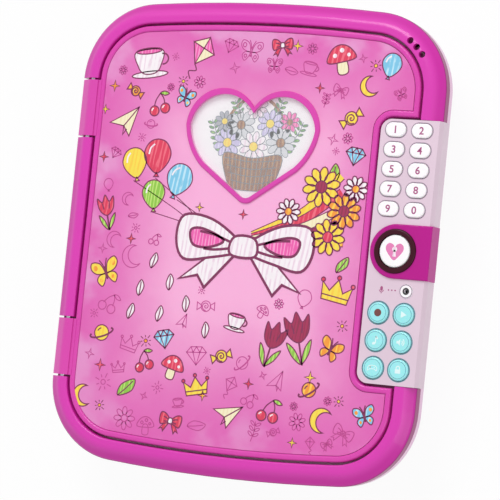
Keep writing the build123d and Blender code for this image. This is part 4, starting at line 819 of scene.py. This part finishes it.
def swirl(pencil: Pencil, tint: Tint = Tint.YELLOW) -> None:
    """A sweet with a spiral and a twisted wrapper."""
    pencil.shape(tint, [(0.5, 0.1), (1.0, 0.4), (1.0, -0.4), (0.5, -0.1)])
    pencil.shape(tint, [(-0.5, 0.1), (-1.0, 0.4), (-1.0, -0.4), (-0.5, -0.1)])
    pencil.shape(tint, ellipse(0, 0, 0.55, 0.55, count=18), 1)
    turns = [math.radians(30 * i) for i in range(22)]
    pencil.line([(0.022 * i * math.cos(t), 0.022 * i * math.sin(t)) for i, t in enumerate(turns)], 3)


def teacup(pencil: Pencil, tint: Tint = Tint.WHITE) -> None:
    """A cup on its saucer."""
    pencil.shape(tint, ellipse(0, -0.72, 0.95, 0.16, count=18))
    pencil.line(ellipse(0.72, -0.02, 0.28, 0.26, -100, 100, 10), 1, wide=1.3)
    pencil.shape(tint,
        smooth([(-0.7, 0.42), (-0.6, -0.3), (-0.3, -0.66), (0.3, -0.66), (0.6, -0.3), (0.7, 0.42)]), 1)
    pencil.shape(Tint.ROSE, ellipse(0, 0.42, 0.68, 0.14, count=18), 2)


def twinkle(pencil: Pencil, tint: Tint = Tint.YELLOW) -> None:
    """A small four-pointed glint."""
    pencil.shape(tint, [p for i in range(4) for p in turned([(1, 0), (0.2, 0.2)], 90 * i)])


Motif = Callable[[Pencil, Tint], None]
BIG_PRINTS: tuple[tuple[Motif, float, float, float, float, Tint], ...] = (
    (teacup, -60, 86, 10.5, 8, Tint.WHITE), (kite, -32, 90, 9.5, -28, Tint.CREAM),
    (mushroom, 44, 90, 8.0, 14, Tint.CRIMSON), (moon, 60, 78, 5.0, 25, Tint.YELLOW),
    (paper_plane, -70, 54, 8.5, 12, Tint.CREAM), (cherries, -52, 64, 6.0, 12, Tint.CRIMSON),
    (swirl, 52, 62, 6.0, 35, Tint.YELLOW), (gem, 56, 44, 5.2, -8, Tint.SKY),
    (tulip, -75, 8, 9.0, 14, Tint.CRIMSON), (butterfly, -72, -22, 7.5, 22, Tint.YELLOW),
    (planet, -71, -52, 6.5, 0, Tint.YELLOW), (leaf, -54, -78, 6.5, 30, Tint.GREEN),
    (mushroom, -30, -66, 6.5, -14, Tint.CRIMSON), (swirl, -4, -58, 5.5, 20, Tint.YELLOW),
    (cherries, 24, -82, 6.2, -10, Tint.CRIMSON), (moon, 52, -84, 6.0, -20, Tint.YELLOW),
    (paper_plane, 2, -86, 7.5, -8, Tint.CREAM), (bow, -28, -92, 6.0, -8, Tint.CRIMSON),
    (butterfly, 53, -50, 6.0, -24, Tint.ORANGE), (tulip, 22, -50, 11.5, -16, Tint.WINE),
    (tulip, 36, -46, 13.0, 12, Tint.WINE), (crown, 53, -22, 8.0, -10, Tint.YELLOW),
    (balloon, -62, 33, 8.5, 14, Tint.YELLOW), (balloon, -37, 26, 9.0, -16, Tint.SKY),
    (balloon, -50, 37, 9.5, 2, Tint.CRIMSON), (balloon, -50, 18, 8.0, 6, Tint.GREEN),
    (leaf, 55, -9, 5.0, 40, Tint.GREEN), (leaf, 46, 34, 6.0, 70, Tint.GREEN),
    (gem, -36, -52, 5.5, 12, Tint.SKY), (crown, -16, -74, 6.5, 12, Tint.YELLOW),
    (bow, 12, 96, 5.5, 6, Tint.CRIMSON),
    (balloon, 70, 88, 6.5, -12, Tint.SKY), (cherries, -46, -64, 5.5, 16, Tint.CRIMSON),
    (butterfly, -38, 68, 5.0, -20, Tint.SKY),
    (planet, 44, -70, 6.0, 14, Tint.ORANGE), (swirl, -66, 70, 4.6, -30, Tint.ORANGE),
    (moon, -78, -84, 5.5, 10, Tint.YELLOW),
    (teacup, 2, -40, 6.0, -10, Tint.WHITE), (butterfly, 74, -80, 5.5, 18, Tint.SKY),
)
SMALL_PRINTS: tuple[tuple[Motif, float, float, float, Tint], ...] = (
    (twinkle, -78, 72, 2.8, Tint.ORANGE), (twinkle, 20, 96, 2.8, Tint.YELLOW),
    (spark, 62, 88, 3.6, Tint.ORANGE),
    (twinkle, 34, 76, 2.4, Tint.CRIMSON), (spark, -40, 76, 3.2, Tint.YELLOW),
    (twinkle, 60, 26, 3.0, Tint.CRIMSON),
    (twinkle, -80, 36, 2.6, Tint.CRIMSON), (spark, 58, -38, 3.4, Tint.ORANGE),
    (twinkle, 44, -64, 3.0, Tint.YELLOW),
    (twinkle, -60, -4, 2.6, Tint.CRIMSON), (spark, -46, -54, 3.6, Tint.ORANGE),
    (twinkle, 12, -70, 2.6, Tint.CRIMSON),
    (twinkle, -12, -78, 2.6, Tint.ORANGE), (spark, 60, -74, 3.2, Tint.YELLOW),
    (twinkle, -70, -68, 3.0, Tint.CRIMSON),
    (spark, -68, -88, 3.2, Tint.ORANGE), (twinkle, 38, -96, 2.4, Tint.YELLOW),
    (twinkle, -82, 60, 2.4, Tint.YELLOW),
    (twinkle, 0, 12, 2.4, Tint.CRIMSON), (twinkle, -24, 14, 2.2, Tint.YELLOW),
)
OUTLINE_MOTIFS: tuple[Motif, ...] = (
    daisy, butterfly, moon, gem, cherries, bow, leaf, sprig, paper_plane, planet, crown, mushroom, kite,
    spark, swirl, teacup, balloon,
)
SMALL_MOTIFS: tuple[Motif, ...] = (spark, twinkle, daisy)
FALLING_LEAVES: tuple[tuple[float, float, float], ...] = (
    (-46, -14, 60), (-36, -24, 75), (-52, -28, 70), (-26, -34, 80), (-40, -40, 66), (-14, -46, 78),
    (-56, -40, 62),
)


@dataclass
class CoverPrint:
    """The doodles printed on the cover, in colour over a tone-on-tone pattern."""

    surface: float
    half_width: float = 78.0
    half_height: float = 96.0
    keypad_left: float = 57.0
    keypad_half: float = 71.0
    window_middle: Point = (0.3, 47.0)
    window_half: Point = (40.0, 34.0)
    line_width: float = 0.44
    corner_reach: float = 155.0
    seed: int = 11
    tries: int = 2600
    largest: float = 6.6
    shrink: float = 4.4
    filler_size: float = 3.2
    taken: list[tuple[float, float, float]] = field(default_factory=list)

    def build(self) -> None:
        """Print the coloured doodles and then the pattern in the room that they leave."""
        colour = Sketch("cover_print", "lid", "printed_panel", self.surface)
        self.draw_centre(colour)
        for motif, x, y, size, lean, tint in BIG_PRINTS:
            motif(Pencil(colour, x, y, size, lean), tint)
            self.taken.append((x, y, size * 1.05))
        for motif, x, y, size, tint in SMALL_PRINTS:
            motif(Pencil(colour, x, y, size, width=0.42), tint)
            self.taken.append((x, y, size))
        colour.build()
        pattern = Sketch("cover_pattern", "lid", "printed_panel", self.surface)
        self.draw_pattern(pattern)
        pattern.build()

    def draw_centre(self, sketch: Sketch) -> None:
        """Draw the large bow, the balloons' strings and the sheaf of flowers beside it."""
        knot = (2.0, -4.0)
        for x, y in ((-62, 25), (-37, 17), (-50, 27), (-50, 10)):
            string = smooth([(x, y), (x * 0.6, y * 0.45 + 1), (-20, 2), knot], False, 8)
            sketch.pen(Tint.PLUM, string, 0.45, layer=0)
        for index, tint in enumerate((Tint.YELLOW, Tint.CRIMSON, Tint.CREAM, Tint.WINE, Tint.ORANGE)):
            self.draw_streamer(sketch, tint, index)
        for x, y, size, petal, eye in (
            (40, 28, 10.0, Tint.YELLOW, Tint.WINE), (53, 17, 9.0, Tint.ORANGE, Tint.WINE),
            (46, 4, 9.0, Tint.YELLOW, Tint.CRIMSON), (24, 15, 6.5, Tint.WHITE, Tint.ORANGE),
            (58, 28, 6.5, Tint.WHITE, Tint.ORANGE),
        ):
            daisy(Pencil(sketch, x, y, size, x * 3, layer=11), petal, eye, 10)
            self.taken.append((x, y, size))
        bow(Pencil(sketch, *knot, 37.0, -2, width=1.3, layer=9, stretch=(1.0, 0.62)), Tint.WHITE, Tint.WHITE)
        self.taken += [(-20, -2, 21.0), (24, -4, 21.0), (2, -14, 18.0), (-44, 12, 12.0)]
        for x, y, lean in FALLING_LEAVES:
            leaf(Pencil(sketch, x, y, 4.2, lean), Tint.WHITE)
            self.taken.append((x, y, 4.5))

    @staticmethod
    def draw_streamer(sketch: Sketch, tint: Tint, index: int) -> None:
        """Draw one curved ribbon of the sheaf that rises to the right."""
        sweep = [(6, 2 - index), (20, 9 - 2.6 * index), (34, 17 - 4.2 * index),
            (50 + index, 34 - 8.0 * index)]
        line = smooth(sweep, False, 6)
        sketch.pen(Tint.PLUM, line, 4.6, layer=index * 2)
        sketch.pen(tint, line, 3.6, layer=index * 2 + 1)

    def free(self, x: float, y: float, size: float) -> bool:
        """Tell whether a doodle of a size fits clear of the others, the window and the keypad."""
        if x + size > self.keypad_left and abs(y) < self.keypad_half + size:
            return False
        if abs(x) + abs(y) > self.corner_reach:
            return False
        reach = [(abs(v - m) - size) / h for v, m, h in zip((x, y), self.window_middle, self.window_half)]
        inside = reach[0] < 1 and reach[1] < 1 and max(reach[0], 0) ** 2 + max(reach[1], 0) ** 2 < 1
        return not inside and all(math.dist((x, y), (a, b)) > size + r for a, b, r in self.taken)

    def draw_pattern(self, sketch: Sketch) -> None:
        """Scatter outline doodles, larger ones first, wherever there is room."""
        draw = random.Random(self.seed)
        index = 0
        for step in range(self.tries):
            size = self.largest - self.shrink * step / self.tries
            x = draw.uniform(-self.half_width, self.half_width)
            y = draw.uniform(-self.half_height, self.half_height)
            if not self.free(x, y, size):
                continue
            filler = SMALL_MOTIFS[index % len(SMALL_MOTIFS)]
            motif = OUTLINE_MOTIFS[index % len(OUTLINE_MOTIFS)] if size > self.filler_size else filler
            pencil = Pencil(sketch, x, y, size * 0.9, draw.uniform(-30, 30), Tint.LINE, self.line_width,
                filled=False)
            motif(pencil, Tint.LINE)
            self.taken.append((x, y, size))
            index += 1


@dataclass
class WindowPicture:
    """The generic picture on the card behind the heart window: a basket of flowers."""

    surface: float
    basket: Point = (1.0, 34.0)
    enlarged: float = 1.3

    def build(self) -> None:
        """Print the picture on the card."""
        sketch = Sketch("window_picture", "lid", "printed_card", self.surface)
        x, y = self.basket
        pot = Pencil(sketch, x, y, 1.0, outline=Tint.GREY, width=0.3, layer=6)
        for i, (dx, dy, size, lean) in enumerate(
            ((-14, 9, 5, 30), (14, 10, 5, -30), (-17, 15, 4, 20), (18, 16, 4, -25), (0, 26, 5, 5),
                (-8, 23, 4, 25), (9, 24, 4, -20))
        ):
            sprig(Pencil(sketch, x + dx, y + dy, size, lean, Tint.GREY, 0.25, layer=i % 2), Tint.LEAF)
        blooms = (
            (-11, 10, 6.0, Tint.LILAC), (11, 11, 6.2, Tint.PALE_GREY), (0, 9, 6.0, Tint.WHITE),
            (-6, 17, 6.0, Tint.PALE_GREY),
            (6, 18, 5.6, Tint.LILAC), (0, 24, 4.6, Tint.WHITE), (-13, 18, 4.2, Tint.SHADE),
            (14, 19, 4.2, Tint.ROSE),
        )
        for i, (dx, dy, size, tint) in enumerate(blooms):
            pencil = Pencil(sketch, x + dx, y + dy, size, 20 * i, Tint.GREY, 0.22, layer=2 + i % 3)
            daisy(pencil, tint, Tint.BROWN if i % 2 else Tint.YELLOW, 9)
        pot.shape(Tint.BROWN,
            smooth([(-12, 6), (-9.5, -5), (-6, -7.5), (6, -7.5), (9.5, -5), (12, 6), (0, 4.6)]))
        for row in range(4):
            half = 11.6 - 1.1 * row
            pot.line(smooth([(-half, 4.4 - 2.8 * row), (0, 3.2 - 2.8 * row), (half, 4.4 - 2.8 * row)],
                False), 2)
        for column in range(-4, 5):
            pot.line([(column * 2.4, 5.0), (column * 1.7, -7.2)], 2)
        pot.line(ellipse(0, 4, 15, 24, 12, 168, 24), -6, Tint.BROWN, 4.0)
        for shape in sketch.shapes:
            for side in shape[1:3]:
                if side:
                    grown = [((px - x) * self.enlarged, (py - y) * self.enlarged) for px, py in side]
                    side[:] = [(x + px, y + py) for px, py in grown]
        sketch.build()


# ---- keypad -----------------------------------------------------------------------------------------
def lettering(name: str, text: str, place: tuple[float, float, float], height: float, tint: Tint,
    body: str) -> None:
    """Print characters on a key.

    Args:
        name: The piece's name.
        text: What is printed.
        place: The middle of the print, in millimetres.
        height: The size of the type, in millimetres.
        tint: The ink.
        body: The body that it moves with.
    """
    curve = bpy.data.curves.new(name, "FONT")
    curve.body = text
    curve.align_x, curve.align_y = "CENTER", "CENTER"
    curve.size = height * MM
    curve.extrude = 0.015 * MM
    curve.offset = 0.1 * MM
    maker = bpy.data.objects.new("type", curve)
    bpy.context.scene.collection.objects.link(maker)
    bpy.context.view_layer.update()
    mesh = bpy.data.meshes.new_from_object(maker.evaluated_get(bpy.context.evaluated_depsgraph_get()))
    bpy.data.objects.remove(maker)
    middle = sum((Vector(v.co) for v in mesh.vertices), Vector()) / len(mesh.vertices)
    low = [min(v.co[axis] for v in mesh.vertices) for axis in (0, 1)]
    high = [max(v.co[axis] for v in mesh.vertices) for axis in (0, 1)]
    centre = Vector(((low[0] + high[0]) / 2, (low[1] + high[1]) / 2, middle.z))
    mesh.transform(Matrix.Translation(Vector(place) * MM - centre))
    bm = bmesh.new()
    bm.from_mesh(mesh)
    bmesh.ops.remove_doubles(bm, verts=bm.verts, dist=0.001 * MM)
    bm.to_mesh(mesh)
    bm.free()
    mesh.name = name
    mesh.materials.clear()
    mesh.materials.append(finish(tint))
    add_piece(mesh, body)


def middle_of(node: str) -> tuple[float, float, float]:
    """Return the middle of a CAD node in plan and the height of its top, in millimetres."""
    low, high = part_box(node)
    return (low.x + high.x) / 2 / MM, (low.y + high.y) / 2 / MM, high.z / MM


@dataclass
class Keypad:
    """The prints on the keys, the unlock button and the faceplate, and painted shade round the keys and
    microphone.
    """

    digit_height: float = 5.0
    disc: float = 4.1
    icon_scale: float = 1.25
    # width of the painted shade ring in the gap round each key
    halo_width: float = 0.4
    round_edge: float = 5.6
    digit_edge: float = 3.9
    digit_half_run: float = 1.7

    def build(self) -> None:
        """Print every key."""
        for digit in range(10):
            lettering(f"digit_{digit}", str(digit), middle_of(f"key_{digit}"), self.digit_height,
                Tint.MAUVE, f"key_{digit}")
        for name, draw in (
            ("record", self.draw_record), ("play", self.draw_play), ("music", self.draw_music),
            ("voice", self.draw_voice), ("game", self.draw_game), ("lock", self.draw_lock),
        ):
            x, y, top = middle_of(f"{name}_key")
            sketch = Sketch(f"{name}_icon", f"{name}_key", "turquoise_key", top)
            sketch.pen(Tint.TEAL, ellipse(x, y, self.disc, self.disc, count=40), 0.18, True)
            draw(Pencil(sketch, x, y, self.icon_scale, outline=Tint.ICON, width=0.5, layer=1))
            sketch.build()
        self.print_button()
        self.print_microphone_mark()
        self.add_halos()

    def draw_record(self, pencil: Pencil) -> None:
        """A red dot."""
        pencil.shape(Tint.RUST, ellipse(0, 0, 1.45, 1.45, count=24), edge=False)

    def draw_play(self, pencil: Pencil) -> None:
        """A triangle."""
        pencil.shape(Tint.ICON, [(-0.9, -1.3), (1.4, 0), (-0.9, 1.3)], edge=False)

    def draw_music(self, pencil: Pencil) -> None:
        """A note."""
        pencil.shape(Tint.ICON, turned(ellipse(0, 0, 0.75, 0.52, count=16), 20, -0.35, -1.2), edge=False)
        pencil.line([(0.3, -1.1), (0.3, 1.5)])
        pencil.line(smooth([(0.3, 1.5), (0.7, 1.0), (1.1, 0.5)], False), wide=1.6)

    def draw_voice(self, pencil: Pencil) -> None:
        """A small loudspeaker with two waves."""
        pencil.shape(Tint.ICON,
            [(-1.6, -0.5), (-0.9, -0.5), (-0.1, -1.3), (-0.1, 1.3), (-0.9, 0.5), (-1.6, 0.5)], edge=False)
        for radius in (0.9, 1.6):
            pencil.line(ellipse(-0.1, 0, radius, radius, -50, 50, 9))

    def draw_game(self, pencil: Pencil) -> None:
        """A game controller in outline."""
        pencil.sketch.pen(Tint.ICON,
            pencil.at(smooth([(-1.1, 0.8), (1.1, 0.8), (1.9, -0.2), (1.7, -1.1), (0.9, -0.5), (-0.9, -0.5),
                (-1.7, -1.1), (-1.9, -0.2)])), 0.34, True, 2)
        pencil.line([(-1.2, 0.2), (-0.5, 0.2)])
        pencil.line([(-0.85, -0.15), (-0.85, 0.55)])
        pencil.shape(Tint.ICON, ellipse(0.8, 0.2, 0.24, 0.24, count=10), edge=False)

    def draw_lock(self, pencil: Pencil) -> None:
        """A padlock."""
        pencil.shape(Tint.ICON, [(-1.1, -1.3), (1.1, -1.3), (1.1, 0.3), (-1.1, 0.3)], edge=False)
        pencil.line([(-0.7, 0.3), *ellipse(0, 0.7, 0.7, 0.8, 180, 0, 12), (0.7, 0.3)])

    def print_button(self) -> None:
        """Print a heart with a keyhole on the unlock button."""
        x, y, top = middle_of("unlock_button")
        sketch = Sketch("unlock_icon", "unlock_button", "white_key", top)
        half = [(0, -4.4), (2.3, -2.5), (4.3, 0.2), (4.4, 2.4), (2.9, 3.7), (1.0, 3.2), (0, 1.9)]
        outline = smooth(half + mirrored(half[1:-1])[::-1], steps=6)
        sketch.fill(Tint.PINK, [(x + px, y + py) for px, py in outline], 0)
        sketch.fill(Tint.WHITE, ellipse(x, y + 0.9, 1.25, 1.25, count=24), 1)
        sketch.fill(Tint.WHITE,
            [(x - 0.45, y + 0.6), (x - 0.9, y - 2.6), (x + 0.9, y - 2.6), (x + 0.45, y + 0.6)], 1)
        sketch.build()

    def print_microphone_mark(self) -> None:
        """Print a small microphone and three dots by the microphone's hole, and paint shade round hole and
        bezel.
        """
        x, y, _ = middle_of("mic_bezel")
        _, _, top = middle_of("keypad_faceplate")
        sketch = Sketch("microphone_mark", "case", "lilac_silver", top)
        pencil = Pencil(sketch, x - 12.6, y, 1.0, outline=Tint.MAUVE, width=0.34)
        pencil.shape(Tint.MAUVE,
            smooth([(-0.6, -0.2), (-0.6, 1.1), (0, 1.6), (0.6, 1.1), (0.6, -0.2), (0, -0.7)]), edge=False)
        pencil.line(ellipse(0, 0.1, 1.1, 1.3, 190, 350, 9))
        pencil.line([(0, -1.2), (0, -1.9)])
        for step in range(3):
            sketch.fill(Tint.MAUVE, ellipse(x - 9.0 + 1.7 * step, y, 0.38, 0.38, count=12))
        sketch.build()
        _, _, top = middle_of("mic_bezel")
        hole_shade = Sketch("microphone_mouth", "case", "white_key", top)
        # painted shade: a black ring round the hole makes its dark look larger
        hole_shade.pen(Tint.BLACK, ellipse(x, y, 1.3, 1.3, count=28), 0.8, True)
        # painted shade: a grey ring at the bezel's edge, where the gap lies
        hole_shade.pen(Tint.SEAM, ellipse(x, y, 3.1, 3.1, count=36), 0.5, True)
        hole_shade.build()

    def add_halos(self) -> None:
        """Run a fine ring of painted shade round every key's opening, where the gap lies, one ring repeated.
        """
        _, _, top = middle_of("keypad_faceplate")
        names = ("record", "play", "music", "voice", "game", "lock")
        rounds = [middle_of(f"{name}_key")[:2] for name in names]
        digits = [middle_of(f"key_{digit}")[:2] for digit in range(10)]
        ring = ellipse(0, 0, self.round_edge, self.round_edge, count=48)
        run, edge = self.digit_half_run, self.digit_edge
        oval = ellipse(run, 0, edge, edge, -90, 90, 16) + ellipse(-run, 0, edge, edge, 90, 270, 16)
        # painted shade: a dark ring in the gap between each key and the faceplate
        repeat_ring("round_key_edges", ring, self.halo_width, rounds, top, Tint.TEAL, "lilac_silver")
        repeat_ring("digit_key_edges", oval, self.halo_width, digits, top, Tint.SEAM, "lilac_silver")


def repeat_ring(
    name: str, outline: Sequence[Point], width: float, places: Sequence[Point], height: float, stock: Enum,
    slot: str
) -> None:
    """Repeat one flat ring at several places with Geometry Nodes, as one plain mesh on the case.

    Args:
        name: The piece's name.
        outline: The ring's middle line, in millimetres about zero.
        width: The ring's width in millimetres.
        places: Where it is repeated.
        height: The surface that it lies on, in millimetres.
        stock: Its finish.
        slot: Not used.
    """
    pattern = Sketch("ring", "case", slot, height)
    pattern.pen(stock, outline, width, True, 0)
    bm = bmesh.new()
    pattern.lay(bm, pattern.shapes[0], 0)
    ring_mesh = bpy.data.meshes.new("ring")
    bm.to_mesh(ring_mesh)
    bm.free()
    ring = bpy.data.objects.new("ring", ring_mesh)
    points = bpy.data.meshes.new("places")
    points.from_pydata([(x * MM, y * MM, 0) for x, y in places], [], [])
    maker = bpy.data.objects.new("places", points)
    for made in (ring, maker):
        bpy.context.scene.collection.objects.link(made)
    tree = bpy.data.node_groups.new(name, "GeometryNodeTree")
    tree.interface.new_socket("Places", in_out="INPUT", socket_type="NodeSocketGeometry")
    ring_input = tree.interface.new_socket("Ring", in_out="INPUT", socket_type="NodeSocketObject")
    finish_input = tree.interface.new_socket("Finish", in_out="INPUT", socket_type="NodeSocketMaterial")
    tree.interface.new_socket("Rings", in_out="OUTPUT", socket_type="NodeSocketGeometry")
    kinds = (
        "NodeGroupInput", "GeometryNodeObjectInfo", "GeometryNodeInstanceOnPoints",
        "GeometryNodeRealizeInstances", "GeometryNodeSetMaterial", "NodeGroupOutput",
    )
    source, info, instance, realize, paint, result = (tree.nodes.new(kind) for kind in kinds)
    for start, end in (
        (source.outputs["Ring"], info.inputs["Object"]),
        (source.outputs["Places"], instance.inputs["Points"]),
        (info.outputs["Geometry"], instance.inputs["Instance"]),
        (instance.outputs["Instances"], realize.inputs["Geometry"]),
        (realize.outputs["Geometry"], paint.inputs["Geometry"]),
        (source.outputs["Finish"], paint.inputs["Material"]),
        (paint.outputs["Geometry"], result.inputs["Rings"]),
    ):
        tree.links.new(start, end)
    modifier = maker.modifiers.new("rings", "NODES")
    modifier.node_group = tree
    modifier[ring_input.identifier] = ring
    modifier[finish_input.identifier] = finish(stock)
    bpy.context.view_layer.update()
    mesh = bpy.data.meshes.new_from_object(maker.evaluated_get(bpy.context.evaluated_depsgraph_get()))
    for made in (ring, maker):
        bpy.data.objects.remove(made)
    mesh.name = name
    add_piece(mesh, "case")


# ---- studio -----------------------------------------------------------------------------------------
@dataclass
class Studio:
    """The floor, the light and the camera."""

    camera_place: tuple[float, float, float] = (0.536416, -0.068122, 1.188505)
    camera_right: tuple[float, float, float] = (0.9053, 0.1012, -0.4126)
    camera_up: tuple[float, float, float] = (-0.0712, 0.9936, 0.0874)
    lens: float = 187.15
    sensor: float = 36.0
    floor_size: float = 12.0
    floor_white: float = 0.92
    sky: float = 0.62
    key_power: float = 26.0
    key_place: tuple[float, float, float] = (-0.25, 1.5, 1.7)
    key_size: float = 1.1
    fill_power: float = 7.0
    fill_place: tuple[float, float, float] = (1.6, -0.6, 1.4)

    def build(self) -> None:
        """Make everything that isn't the diary."""
        self.add_camera()
        self.add_floor()
        self.add_sky()
        self.add_lamp("key_light", self.key_place, self.key_power, self.key_size)
        self.add_lamp("fill_light", self.fill_place, self.fill_power, self.key_size)

    def add_camera(self) -> None:
        """Stand the camera where the photograph was taken from."""
        data = bpy.data.cameras.new("camera")
        data.lens = self.lens
        data.sensor_width = self.sensor
        camera = bpy.data.objects.new("camera", data)
        right, up = Vector(self.camera_right).normalized(), Vector(self.camera_up)
        back = right.cross(up).normalized()
        turn = Matrix((right, back.cross(right), back)).transposed()
        camera.matrix_world = Matrix.Translation(self.camera_place) @ turn.to_4x4()
        bpy.context.scene.collection.objects.link(camera)
        bpy.context.scene.camera = camera

    def seen_directly(self, recipe: Recipe) -> Value:
        """Return 1 for a ray from the camera, a reflection or a clear piece, else 0."""
        path = recipe.node("ShaderNodeLightPath").outputs
        names = ("Is Camera Ray", "Is Glossy Ray", "Is Transmission Ray")
        rays = [Value(recipe, path[name]) for name in names]
        return rays[0].larger(rays[1]).larger(rays[2])

    def add_floor(self) -> None:
        """Lay a white floor that keeps the diary's shadow."""
        mesh = bpy.data.meshes.new("floor")
        half = self.floor_size / 2
        corners = [(-half, -half, 0), (half, -half, 0), (half, half, 0), (-half, half, 0)]
        mesh.from_pydata(corners, [], [(0, 1, 2, 3)])
        floor = bpy.data.objects.new("floor", mesh)
        bpy.context.scene.collection.objects.link(floor)
        recipe = Recipe("floor")
        recipe.set(Base_Color=(0.86, 0.86, 0.86), Roughness=0.9, Specular_IOR_Level=0.0)
        glow = recipe.node("ShaderNodeEmission", inputs={"Color": (1.0, 1.0, 1.0), "Strength": 1.0})
        share = self.seen_directly(recipe) * self.floor_white
        mixed = recipe.node(
            "ShaderNodeMixShader", inputs={0: share, 1: recipe.shader.outputs[0], 2: glow.outputs[0]}
        )
        recipe.feed(recipe.output.inputs["Surface"], mixed.outputs[0])
        mesh.materials.append(recipe.material)

    def add_sky(self) -> None:
        """Light the diary softly from all round, with white behind it."""
        world = bpy.data.worlds.new("studio")
        bpy.context.scene.world = world
        recipe = Recipe("studio", world)
        seen = self.seen_directly(recipe)
        strength = seen * (1 - self.sky) + self.sky
        sky = recipe.node("ShaderNodeBackground", inputs={"Color": (1.0, 1.0, 1.0), "Strength": strength})
        recipe.node("ShaderNodeOutputWorld", inputs={"Surface": sky.outputs[0]})

    def add_lamp(self, name: str, place: Sequence[float], power: float, size: float) -> None:
        """Hang one soft square lamp aimed at the diary."""
        data = bpy.data.lights.new(name, "AREA")
        data.energy = power
        data.size = size
        lamp = bpy.data.objects.new(name, data)
        lamp.location = place
        lamp.rotation_euler = Vector(place).to_track_quat("Z", "Y").to_euler()
        bpy.context.scene.collection.objects.link(lamp)


def main() -> None:
    """Dress the diary, print it and light it."""
    logging.basicConfig(level=logging.INFO, format="%(message)s")
    Studio().build()
    log.info("dressed %d CAD nodes", dress_nodes())
    CoverPrint(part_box("cover_panel")[1].z / MM).build()
    WindowPicture(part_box("picture_card")[1].z / MM).build()
    Keypad().build()
    bpy.context.scene.view_settings.view_transform = "Standard"


if __name__ == "__main__":
    main()
